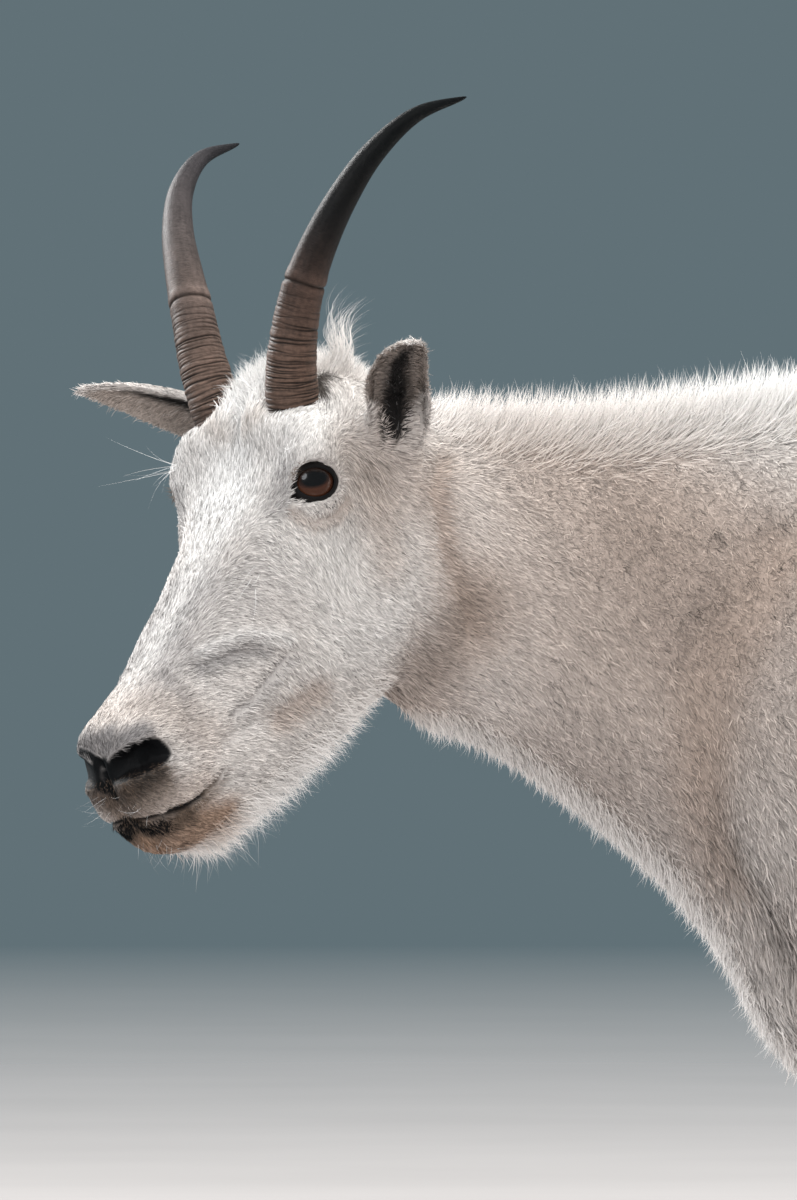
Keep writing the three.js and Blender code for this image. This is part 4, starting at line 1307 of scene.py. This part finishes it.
# Regions of the short coat, with their layers and width of the tufts
regions = {
    "face": {
        "clumpSize": 5, "clump": 0.22, "crack": 0.16, "layers": 3.05, "wide": 0.9, "flecks": 0.12,
        "vary": 0.26, "root": 0.42, "spread": 0.14, "curl": 0.08,
    },
    "neck": {
        "clumpSize": 5, "clump": 0.5, "crack": 0.3, "layers": 2.8, "wide": 0.95, "flecks": 0.12,
        "vary": 0.28, "root": 0.42, "spread": 0.25,
    },
    "wool": {
        "clumpSize": 4, "clump": 0.8, "crack": 0.45, "layers": 2.2, "wide": 0.95, "flecks": 0.08,
        "vary": 0.24, "root": 0.42, "spread": 0.55, "short": 0.66,
    },
    "trunk": {"clumpSize": 13, "clump": 0.4, "crack": 0.2, "layers": 2.1, "wide": 2, "root": 0.6},
    "legs": {"clumpSize": 10, "clump": 0.3, "crack": 0.2, "layers": 1.6, "wide": 1.8},
}
waveAxis = unit(headAxes @ (-0.65, 0.6, -0.45))
borders = {"head": -118, "poll": -150, "neck": 60, "leg": 430}


def regionOf(spots):  # the number of the region at each place
    local, body = toHead(spots), toBody(spots)
    isHead = (local[:, 0] > borders["head"]) & (body[:, 0] < borders["poll"])
    isLeg = body[:, 2] < borders["leg"]
    isNeck = (body[:, 0] < borders["neck"]) & (body[:, 2] > borders["leg"])
    isWool = isNeck & (woolly(body) + 0.5 * cloud(body, 9, 41) > 0.5)
    return np.select([isHead, isLeg, isWool, isNeck], [0, 4, 2, 1], 3)


def regionValue(name, region, usual=1):
    return np.array([look.get(name, usual) for look in regions.values()])[region]


def tuftWidth(length, region):
    return (coat["widthLeast"] * mm + coat["widthShare"] * length) * regionValue("wide", region)


def growCoat():
    rng = np.random.default_rng(7)
    region = regionOf(middles)
    length = fields["length"][corners].mean(1) * regionValue("short", region)
    each = tuftWidth(length, region) * length * coat["overlap"]
    weights = furryAreas * regionValue("layers", region) / each
    hair = plant(weights, int(weights.sum()), rng)
    # painted shade in the cracks of the wool
    hair["tint"] = hair["tint"] * (1 - wool["dark"] * partings(toBody(hair["spot"])))[:, None]
    region = regionOf(hair["spot"])
    vary = rng.uniform(*coat["lengthVary"], len(region))
    hair["length"] = hair["length"] * regionValue("short", region) * vary
    hair["width"] = tuftWidth(hair["length"], region)
    hair["lift"] = np.full(len(region), coat["lift"])
    for index, (name, look) in enumerate(regions.items()):
        chosen = np.flatnonzero(region == index)
        parts = int(np.ceil(len(chosen) * (2 * tuftLook["steps"] - 1) / coat["limit"]))
        for part, share in enumerate(np.array_split(chosen, parts)):
            some = {key: values[share] for key, values in hair.items()}
            tuftMesh(f"coat_{name}_{part + 1}", some, look, rng)


growCoat()


def sized(hair, length, width, lift, rng, least=0.5, most=1.25):
    count = len(hair["spot"])
    hair["length"] = length * mm * rng.uniform(least, most, count)
    hair["width"] = np.full(count, width * mm)
    hair["lift"] = np.full(count, lift)


def paler(hair, amount):
    hair["tint"] = hair["tint"] * (1 - amount) + np.array(colours["white"]) * amount


def together(parts):
    return {key: np.concatenate([part[key] for part in parts]) for key in parts[0]}


# Longer hair. Rows: name, frame, path, reach, how many, length, width, lie, lift, steps, spread, curl
maneLine = [(-200, -72, 830), (-140, -40, 812), (-72, -14, 816), (0, 0, 826), (80, 0, 838), (200, 0, 830)]
longHair = [
    ("mane", "body", maneLine, 62, 25000, 27, 0.68, (0.15, 0, 1), 1.2, 3, 0.2, 0.22),
    ("poll", "head", [(-40, 0, 48), (-75, 0, 42), (-95, 0, 30)],
     36, 6500, 17, 0.62, (-0.5, 0, 1), 1.2, 4, 0.32, 0.45),
    ("wisp", "near", [(-80, 17, 34), (-87, 15, 30)],
     5, 240, 54, 0.45, (-0.55, 0.12, 0.83), 0.1, 9, 0.05, 0.1),
    ("forelock", "head", [(-30, 0, 44), (-50, 8, 48)],
     13, 1800, 12, 0.6, (-0.5, 0, 1), 0.9, 3, 0.3, 0.2),
    ("beard", "head", [(150, 8, -148), (100, 10, -150), (40, 26, -146), (0, 34, -146)],
     24, 8000, 20, 0.5, (-0.75, 0, -0.8), 0.7, 4, 0.3, 0.5),
    ("throat", "body", [(-215, -85, 640), (-120, -42, 582), (-60, -15, 524), (0, 0, 440)],
     34, 11000, 14, 0.62, (0.35, 0, -0.9), 0.7, 3, 0.24, 0.3),
    ("back", "body", [(60, 0, 836), (300, 0, 800), (560, 0, 782), (690, 0, 740)],
     60, 7000, 20, 1.4, (1, 0, 0.3), 0.5, 3, 0.2, 0.2),
    ("belly", "body", [(20, 0, 420), (200, 0, 405), (380, 0, 422), (560, 0, 485)],
     70, 9000, 26, 1.6, (0.5, 0, -0.9), 0.5, 3, 0.2, 0.2),
    ("tail", "body", [(728, 0, 706), (752, 0, 640), (750, 0, 592)],
     30, 3000, 28, 1.7, (0.2, 0, -1), 0.5, 3, 0.2, 0.2),
]


# How far a long hair has its own length, lie and colour at the edge of its place, and what the middle adds
longGrowth = {
    "length": (0.25, 0.75), "own": (0.3, 0.7), "coat": (1.1, -0.8), "pale": (0.05, 0.65),
    "lift": 0.02, "out": 0.4, "maneEnd": (240, 70),
}
longLook = {"root": 0.93, "vary": 0.08, "clumpSize": 6, "clump": 0.3}
wispLook = {"clumpSize": 16, "clump": 0.65, "wave": 7}


def rising(name, near):
    edge, more = longGrowth[name]
    return edge + more * near


def growLong(row, seed):
    name, place, path, reach, count, length, width, lie, lift, steps, spread, curl = row
    move, axes = (toBody, np.eye(3)) if place == "body" else (toHead, headAxes)
    mirror = bothSides if place == "head" else np.asarray
    weights = furryAreas * fade(reach, reach * 0.2, pathDistance(mirror(move(middles)), path))
    rng = np.random.default_rng(seed)
    hair = plant(weights, count, rng)
    near = fade(reach, 0, pathDistance(mirror(move(hair["spot"])), path))
    if name == "mane":
        near *= fade(*longGrowth["maneEnd"], toBody(hair["spot"])[:, 0])
    sized(hair, length, width, longGrowth["lift"], rng)
    hair["length"] = hair["length"] * rising("length", near)
    near = near[:, None]
    straight = axes @ np.array(lie, float) + hair["normal"] * lift * longGrowth["out"]
    straight = unit(straight * rising("own", near) + hair["lie"] * rising("coat", near))
    hair["normal"], hair["lie"] = unit(np.cross(straight, rng.normal(0, 1, (count, 3)))), straight
    paler(hair, rising("pale", near))
    hair["bow"] = np.zeros(count)
    look = {**longLook, "steps": steps, "spread": spread, "curl": curl}
    if name == "wisp":
        look.update(wispLook)
    tuftMesh("hair_" + name, hair, look, rng)


for index, row in enumerate(longHair):
    growLong(row, 20 + index)


# A few long pale hairs inside the cups, and a white fringe on their rims: count, length, paleness, outward
earHair = {"cup": (380, 7, 0.22, 0.8), "rim": (3200, 4.5, 0.96, 0.3)}


def growEars():
    rng = np.random.default_rng(61)
    local, normals = toHead(plainSkin[0]), plainSkin[1] @ headAxes
    parts = []
    for name in ears:
        across, opening, lean = earFrame(ears[name])
        cup, up, a = earCup(local, normals, name)
        opened = earPlace(local, name)[2]
        onEar = (np.abs(a) < 1.25) & (np.abs(opened) < 1.4) & (up > 0.02) & (up < 1.1)
        edge = np.abs(a) + 0.6 * fade(0.8, 1.02, up)
        rim = onEar * fade(0.8, 0.97, edge) * fade(0.3, -0.3, normals @ opening)
        for share, row in ((cup, earHair["cup"]), (rim, earHair["rim"])):
            count, length, pale, outward = row
            hair = plant(areas * share[corners].mean(1), count, rng)
            side = earPlace(toHead(hair["spot"]), name)[1]
            way = np.outer(np.clip(side * 1.5, -1, 1), across) * outward + lean * 0.8
            way = way + opening * (outward - 0.5)
            hair["lie"] = unit(way @ headAxes.T)
            sized(hair, length, 0.38, outward * 0.4, rng, 0.5, 1.3)
            paler(hair, rng.uniform(0.2, 1, count)[:, None] * pale)
            parts.append(hair)
    look = {"steps": 3, "curl": 0.25, "clumpSize": 4, "clump": 0.1, "root": 0.9}
    tuftMesh("hair_ears", together(parts), look, rng)


growEars()


# Bristles and whiskers. Rows: path, reach, how many, length, width, direction, colour, curl
bristles = [
    ([(190, 0, -113), (188, 6, -117), (187, 12, -120), (183, 22, -121)],
     6, 1300, 4.4, 0.45, (0.6, 0.3, -1), "black", 0.1),
    ([(183, 24, -121), (171, 30, -123), (153, 32, -122)], 3.5, 420, 3.6, 0.4, (0.2, 0.3, -1), "umber", 0.1),
    ([(187, 18, -110), (178, 29, -113), (166, 32, -116), (140, 33, -115)],
     5, 300, 3, 0.4, (-0.5, 0.3, -1), "umber", 0.1),
    (underNostril, 10, 700, 2.4, 0.32, (-0.5, 0.5, -0.8), "umber", 0.1),
    ([(180, 10, -134), (170, 16, -138)], 14, 60, 4, 0.4, (0.2, 0.2, -1), "umber", 0.1),
    ([(189, 8, -100), (188, 16, -106)], 9, 22, 15, 0.13, (1, 0.3, -0.1), "white", 0.35),
    ([(170, 10, -150), (184, 6, -136)], 12, 40, 13, 0.14, (0.5, 0.1, -0.8), "white", 0.35),
    ([(14, 46, 24), (2, 52, 27)], 6, 22, 32, 0.2, (0.8, 0.6, 0.4), "white", 0.7),
    ([(52, 44, -28), (60, 44, -36)], 8, 9, 24, 0.22, (0.9, 0.6, -0.3), "white", 0.6),
    ([(14, 62, -13), (2, 65, -18), (-8, 64, -18)], 3, 34, 3.2, 0.6, (0, 0.7, -1), "black", 0.1),
    ([(13, 54, 8), (2, 60, 12), (-12, 62, 10)], 3, 150, 6, 0.35, (0.5, 0.9, 0.1), "umber", 0.2),
]


def growBristles():
    rng = np.random.default_rng(83)
    local = bothSides(straightened(toHead(middles)))
    parts = []
    for path, reach, count, length, width, way, colour, curl in bristles:
        hair = plant(areas * fade(reach, reach * 0.5, pathDistance(local, path)), count, rng)
        side = np.sign(straightened(toHead(hair["spot"]))[:, 1:2])
        mirror = np.hstack([np.ones((count, 1)), side, np.ones((count, 1))])
        hair["lie"] = unit(np.array(way, float) * mirror) @ headAxes.T
        sized(hair, length, width, 0.35 if length < 10 else 0.9, rng)
        hair["tint"] = np.tile(colours[colour], (count, 1))
        hair["curl"] = np.full(count, curl)
        parts.append(hair)
    look = {"steps": 6, "fall": 0.3, "clumpSize": 4, "clump": 0.1, "root": 1}
    tuftMesh("hair_bristles", together(parts), look, rng)


growBristles()


# Eyes: a glossy ball, and a black rim of the lids that closes on it


def eyeBall(name, side):
    ball = sphere(eyes["radius"], 96, 64)
    ball.name = name
    points = readPoints(ball) / mm  # the ball's pole points along its sight
    writeField(ball, "iris", "FLOAT_VECTOR", points)
    bulge = 1 + eyes["bulge"] * fade(0.6, 1, points[:, 2] / eyes["radius"])
    local = (points * bulge[:, None]) @ eyeFrame(side)
    writePoints(ball, fromHead(local + eyeCentre(side)))
    return ball


lid = {
    "around": 120, "loop": 20, "outer": 1.05, "inner": 0.1, "above": 0.5, "flat": 0.86, "thick": (1.5, 2.2),
}


def lidRim(name, side):  # a black ring from under the fur to the ball
    fore, rise, sight = eyeFrame(side)
    count, loop = lid["around"], lid["loop"]
    turn = np.arange(count) / count * 2 * np.pi - np.pi
    outer = outlineAt(eyes["opening"], turn) * lid["outer"]
    inner = outlineAt(eyes["ball"], turn) + lid["inner"]
    for _ in range(2):
        outer, inner = ((np.roll(far, 1) + far * 2 + np.roll(far, -1)) / 4 for far in (outer, inner))
    rings = []
    for k in range(loop):
        around = k / loop * 2 * np.pi
        share = 0.5 + 0.5 * np.cos(around)
        reach = inner + (outer - inner) * share
        a = eyes["middle"][0] + reach * np.cos(turn)
        b = eyes["middle"][1] + reach * np.sin(turn)
        dome = (eyes["radius"] + lid["above"]) ** 2 - lid["flat"] * (a * a + b * b)
        out = np.sqrt(np.maximum(dome, 12)) + lid["thick"][around >= np.pi] * np.sin(around)
        rings.append(np.outer(a, fore) + np.outer(b, rise) + np.outer(out, sight) + eyeCentre(side))
    points = np.stack(rings, 1).reshape(-1, 3)
    faces = []
    for i in range(count):
        here, there = i * loop, (i + 1) % count * loop
        for k in range(loop):
            m = (k + 1) % loop
            faces.append((here + k, there + k, there + m, here + m))
    return edited(meshObject(name, fromHead(points), faces), faceOutward)


irisShades = {
    "dark": (0.03, 0.011, 0.006), "warm": (0.085, 0.031, 0.016), "shadow": (0.014, 0.007, 0.005),
    "edge": (0.03, 0.016, 0.013), "pupil": (0.004, 0.003, 0.003),
}


def eyeFinish():
    wet = {"Roughness": 0.2, "Specular IOR Level": 0.3, "Coat Weight": 0.6, "Coat Roughness": 0.02}
    made, start, shader = finish("eye", wet)
    x, y = attribute(start, "iris", 1).parts()
    long, tall = eyes["pupil"]
    pupil = ((x / long) ** 2 + ((y - 0.6) / tall) ** 2).between(1.5, 0.6)
    far = (x * x + y * y) ** 0.5
    spokes = start.node("ShaderNodeCombineXYZ", {}, {"X": start.maths("ARCTAN2", y, x) * 9, "Y": far * 0.3})
    iris = noise(start, spokes, 3).mixed(irisShades["dark"], irisShades["warm"])
    iris = y.between(-2, 5).mixed(iris, irisShades["shadow"])
    iris = far.between(11, 12.6).mixed(iris, irisShades["edge"])
    plug(shader, colour=pupil.mixed(iris, irisShades["pupil"]))
    return made


def lidFinish():
    made, start, shader = finish("lid", {"Specular IOR Level": 0.22})
    grain = noise(start, objectPlace(start), 1800, 3)
    plug(shader, colour=grain.mixed((0.003, 0.003, 0.003), (0.014, 0.012, 0.012)), rough=grain * 0.3 + 0.36)
    plug(shader, normal=bumped(start, grain, 0.4, 0.0004))
    return made


eyeMaterial, lidMaterial = eyeFinish(), lidFinish()
for side, ending in ((1, "left"), (-1, "right")):
    ball = eyeBall("eyeball_" + ending, side)
    rim = lidRim("lids_" + ending, side)
    dressed(ball, eyeMaterial)
    dressed(rim, lidMaterial)
    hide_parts("eye_" + ending)
print("eyes done")


# Horns: growth rings low down, a deeper groove, then a smooth dark point
horn = {
    "radius": 17.5, "depth": 0.9, "around": 48, "taper": 0.66, "swell": 0.16, "seed": 5,
    "groove": 0.385, "grooveWide": 0.0042, "grooveDeep": 0.9, "lip": 0.45,
    "lines": 42, "lineFrom": 0.06, "lineDeep": 0.8, "lineDark": (0.012, 0.008, 0.006),
    "gapGrows": (0.6, 1.7), "gapVary": (0.45, 1.6), "lineWide": (0.0013, 0.0028),
    "lineWaves": ((0.0022, 1), (0.0012, 2), (0.0007, 5)), "lips": ((0.016, 0.013), (0.012, 0.009)),
}
hornPath = [
    (-26, 31, 12), (-35, 37, 44), (-46, 44, 68), (-62, 53, 92), (-79, 65, 112),
    (-100, 80, 131), (-126, 94, 146), (-158, 105, 152), (-192, 111, 144),
]
hornShades = {  # from the base to the tip: near horn and far horn
    "horn_left": [
        (0.095, 0.06, 0.045), (0.1, 0.062, 0.046), (0.062, 0.038, 0.029), (0.013, 0.0095, 0.0085),
        (0.005, 0.0045, 0.0045), (0.004, 0.004, 0.004), (0.004, 0.004, 0.0045),
    ],
    "horn_right": [
        (0.095, 0.062, 0.048), (0.11, 0.073, 0.057), (0.085, 0.06, 0.05), (0.062, 0.049, 0.045),
        (0.045, 0.038, 0.038), (0.03, 0.027, 0.029), (0.012, 0.0115, 0.013),
    ],
}


def evenly(path, count):  # points at even steps along a smooth line
    fine = along(path, np.linspace(0, 1, 2000))
    steps = np.concatenate([[0], np.cumsum(np.linalg.norm(np.diff(fine, axis=0), axis=1))])
    want = np.linspace(0, steps[-1], count)
    return np.stack([np.interp(want, steps, fine[:, k]) for k in range(3)], 1)


def hornLines(s, turn, rng):  # how deep each place lies in the lines between the growth rings, 0 to 1
    deep = np.zeros_like(s)
    gaps = np.linspace(*horn["gapGrows"], horn["lines"]) * rng.uniform(*horn["gapVary"], horn["lines"])
    places = horn["lineFrom"] + np.cumsum(gaps) / gaps.sum() * (horn["groove"] - horn["lineFrom"] - 0.03)
    for place in places:
        wave = place
        for high, often in horn["lineWaves"]:
            wave = wave + high * np.sin(often * turn + rng.uniform(0, 6))
        wide = rng.uniform(*horn["lineWide"])
        fadeOut = fade(0.38, 0.28, place) * 0.65 + 0.35
        part = 0.65 + 0.35 * np.sin(turn * rng.integers(1, 3) + rng.uniform(0, 6))
        deep = np.maximum(deep, rng.uniform(0.5, 1) * fadeOut * part * np.exp(-(((s - wave) / wide) ** 2)))
    return deep


def makeHorn(name, side):
    rng = np.random.default_rng(horn["seed"] + side)
    s = np.concatenate([np.linspace(0, 0.42, 400), np.linspace(0.42, 1, 81)[1:]])
    fine = evenly(np.array(hornPath, float) * (1, side, 1), 1500)
    path = np.stack([np.interp(s, np.linspace(0, 1, 1500), fine[:, k]) for k in range(3)], 1)
    runs = unit(np.gradient(path, axis=0))
    across = unit(np.cross(runs, (1, 0, 0.4)))
    deep = unit(np.cross(across, runs))
    turn = np.tile(np.arange(horn["around"]) / horn["around"] * 2 * np.pi, (len(s), 1))
    share = np.repeat(s[:, None], horn["around"], 1)
    lines = hornLines(share, turn, rng)
    wavy = share - horn["groove"] - 0.004 * np.sin(turn) - 0.002 * np.sin(2 * turn + 1)
    groove = np.exp(-((wavy / horn["grooveWide"]) ** 2))
    (above, aboveWide), (below, belowWide) = horn["lips"]
    lip = np.exp(-(((wavy - above) / aboveWide) ** 2)) + 0.5 * np.exp(-(((wavy + below) / belowWide) ** 2))
    half = horn["radius"] * np.maximum(1 - share, 0) ** horn["taper"] * (1.02 - 0.1 * share) + 0.4
    swell = horn["swell"] * np.sin(share * 150 + np.sin(share * 70)) * fade(0.38, 0.2, share)
    step = (lip * horn["lip"] - groove * horn["grooveDeep"]) * np.minimum(1, half / 8)
    reach = half + swell - lines * horn["lineDeep"] + step

    def wound(long, wide):  # places along and round the horn, for noise that follows it
        return np.stack([share * long, np.cos(turn) * wide, np.sin(turn) * wide], 2).reshape(-1, 3)

    patchy = 1 + 0.22 * cloud(wound(9, 2.6), 0.35, 9) + 0.18 * cloud(wound(14, 1), 0.8, 4)
    tint = along(hornShades[name], share.ravel()) * patchy[:, None]
    dark = np.clip(np.maximum(lines.ravel() * 1.25, groove.ravel() * 0.8), 0, 0.95)[:, None]
    tint = tint * (1 - dark) + np.array(horn["lineDark"]) * dark
    tint *= (1 + 0.5 * lip.ravel() * fade(0.3, 0.36, share.ravel()))[:, None]
    rings = path[:, None] + (reach * np.cos(turn))[..., None] * deep[:, None]
    rings = rings + (reach * horn["depth"] * np.sin(turn))[..., None] * across[:, None]
    piece = loft(name + "_ringed", rings, fromHead)
    writeTint(piece, np.clip(tint, 0.003, 0.9))
    writeField(piece, "grown", "FLOAT_VECTOR", wound(300, 4))
    return piece


def hornFinish():
    made, start, shader = finish("horn", {"Specular IOR Level": 0.26})
    grain = noise(start, objectPlace(start), 420, 4)
    layers = noise(start, attribute(start, "grown", 1), 0.9, 4, 0.7)
    worn = (grain * 0.45 + layers * 0.55).between(0.25, 0.75).shade(0.4, 1.5)
    plug(shader, colour=attribute(start, "tint").times(worn), rough=grain * 0.2 + layers * 0.2 + 0.3)
    plug(shader, normal=bumped(start, grain * 0.3 + layers * 0.7, 0.7, 0.0009))
    return made


hornMaterial = hornFinish()
for side, ending in ((1, "left"), (-1, "right")):
    piece = makeHorn("horn_" + ending, side)
    dressed(piece, hornMaterial)
    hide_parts("horn_" + ending)
print("horns done")


# Hooves and dewclaws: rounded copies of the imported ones
hoof = {"merge": 0.00005, "flat": 1, "bevel": 0.0018, "steps": 3, "edge": 35, "smooth": 40}  # metres, degrees


def hoofFinish():
    made, start, shader = finish("hoof", {"Specular IOR Level": 0.4})
    ringsOf = noise(start, objectPlace(start, (0.3, 0.3, 6)), 60, 3)
    grain = noise(start, objectPlace(start, (4, 4, 0.6)), 120, 4)
    colour = ringsOf.between(0.35, 0.65).mixed((0.02, 0.017, 0.016), (0.075, 0.062, 0.054))
    plug(shader, colour=colour, rough=grain * 0.25 + 0.4)
    plug(shader, normal=bumped(start, ringsOf * 0.6 + grain * 0.4, 0.5, 0.0015))
    return made


hoofMaterial = hoofFinish()
for node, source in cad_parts.items():
    if not node.startswith(("hoof", "dewclaw")):
        continue
    piece = edited(
        linked(node + "_horn", source.data.copy()),
        (bpy.ops.mesh.remove_doubles, {"threshold": hoof["merge"]}),
        (bpy.ops.mesh.dissolve_limited, {"angle_limit": math.radians(hoof["flat"])}),
    )
    bevel = piece.modifiers.new("edges", "BEVEL")
    bevel.width, bevel.segments = hoof["bevel"], hoof["steps"]
    bevel.limit_method, bevel.angle_limit = "ANGLE", math.radians(hoof["edge"])
    bpy.ops.object.modifier_apply(modifier=bevel.name)
    bpy.ops.object.shade_smooth_by_angle(angle=math.radians(hoof["smooth"]))
    dressed(piece, hoofMaterial)
    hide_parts(node)
print("hooves done")


# Stage, camera and light
photo = {"scale": 1.7, "wide": 797, "high": 1200, "edge": (0, 870), "edgePixel": (797, 330)}
view = {"distance": 12.0, "plane": -110, "sensor": 36, "farEnd": 200}
ground = {"radius": 30, "fadeAt": 42, "fadeFrom": 12, "fadeShare": 1.35}


def makeCamera():
    middleX = photo["edge"][0] + (photo["wide"] / 2 - photo["edgePixel"][0]) / photo["scale"]
    middleZ = photo["edge"][1] - (photo["high"] / 2 - photo["edgePixel"][1]) / photo["scale"]
    target = fromBody([(middleX, view["plane"], middleZ)])[0]
    data = bpy.data.cameras.new("camera")
    data.sensor_width = view["sensor"]
    data.lens = data.sensor_width * view["distance"] / (photo["high"] / photo["scale"] * mm)
    data.clip_end = view["farEnd"]
    camera = linked("camera", data)
    camera.location = target - axisY * view["distance"]
    camera.rotation_euler = (math.radians(90), 0, 0)
    bpy.context.scene.camera = camera


makeCamera()


def facing(way):
    return Vector(way).to_track_quat("-Z", "Y").to_euler()


def areaLight(name, at, towards, size, power, colour, shine):
    data = bpy.data.lights.new(name, "AREA")
    data.shape, data.size, data.energy, data.color = "DISK", size, power, colour
    light = linked(name, data)
    light.location, light.rotation_euler = at, facing(Vector(towards) - Vector(at))
    light.visible_camera, light.visible_glossy = False, shine


areaLight("front", (0.6, -4.4, 1.9), (-0.25, -0.1, 0.65), 3.2, 106, (1, 0.955, 0.925), False)
areaLight("window", (-2.2, -3.2, 2.5), (-0.35, -0.15, 0.75), 2.1, 46, (0.95, 0.975, 1), True)
areaLight("brow", (-2.6, 1.6, 2.4), (-0.4, -0.1, 0.75), 1.8, 165, (1, 0.995, 0.99), True)

sky = linked("sky", bpy.data.lights.new("sky", "SUN"))
sky.data.energy, sky.data.angle, sky.data.color = 7.9, math.radians(90), (1, 0.98, 0.95)
sky.visible_glossy, sky.rotation_euler = False, facing((-0.2, -0.2, -1))

bpy.context.scene.view_settings.view_transform = "Standard"
world = bpy.data.worlds.new("studio")
bpy.context.scene.world = world
world.use_nodes = True
surround = world.node_tree.nodes["Background"].inputs
surround["Color"].default_value, surround["Strength"].default_value = (0.12, 0.165, 0.185, 1), 1.0


def floorFinish():
    made, start, shader = finish("floor", {"Roughness": 0.8})
    place = objectPlace(start)
    x, y = place.parts()
    far = (x * x + y * y) ** 0.5
    colour = noise(start, place, 1.5, 4).mixed((0.3, 0.288, 0.288), (0.35, 0.335, 0.335))
    seen = (ground["fadeAt"] / (far + ground["fadeFrom"]) - 1) * ground["fadeShare"]  # it fades out far away
    plug(shader, colour=colour, alpha=seen)
    return made


bpy.ops.mesh.primitive_circle_add(vertices=96, radius=ground["radius"], fill_type="NGON")
floor = bpy.context.object
floor.name = "floor"
giveFinish(floor, floorFinish())
floor.visible_glossy = False
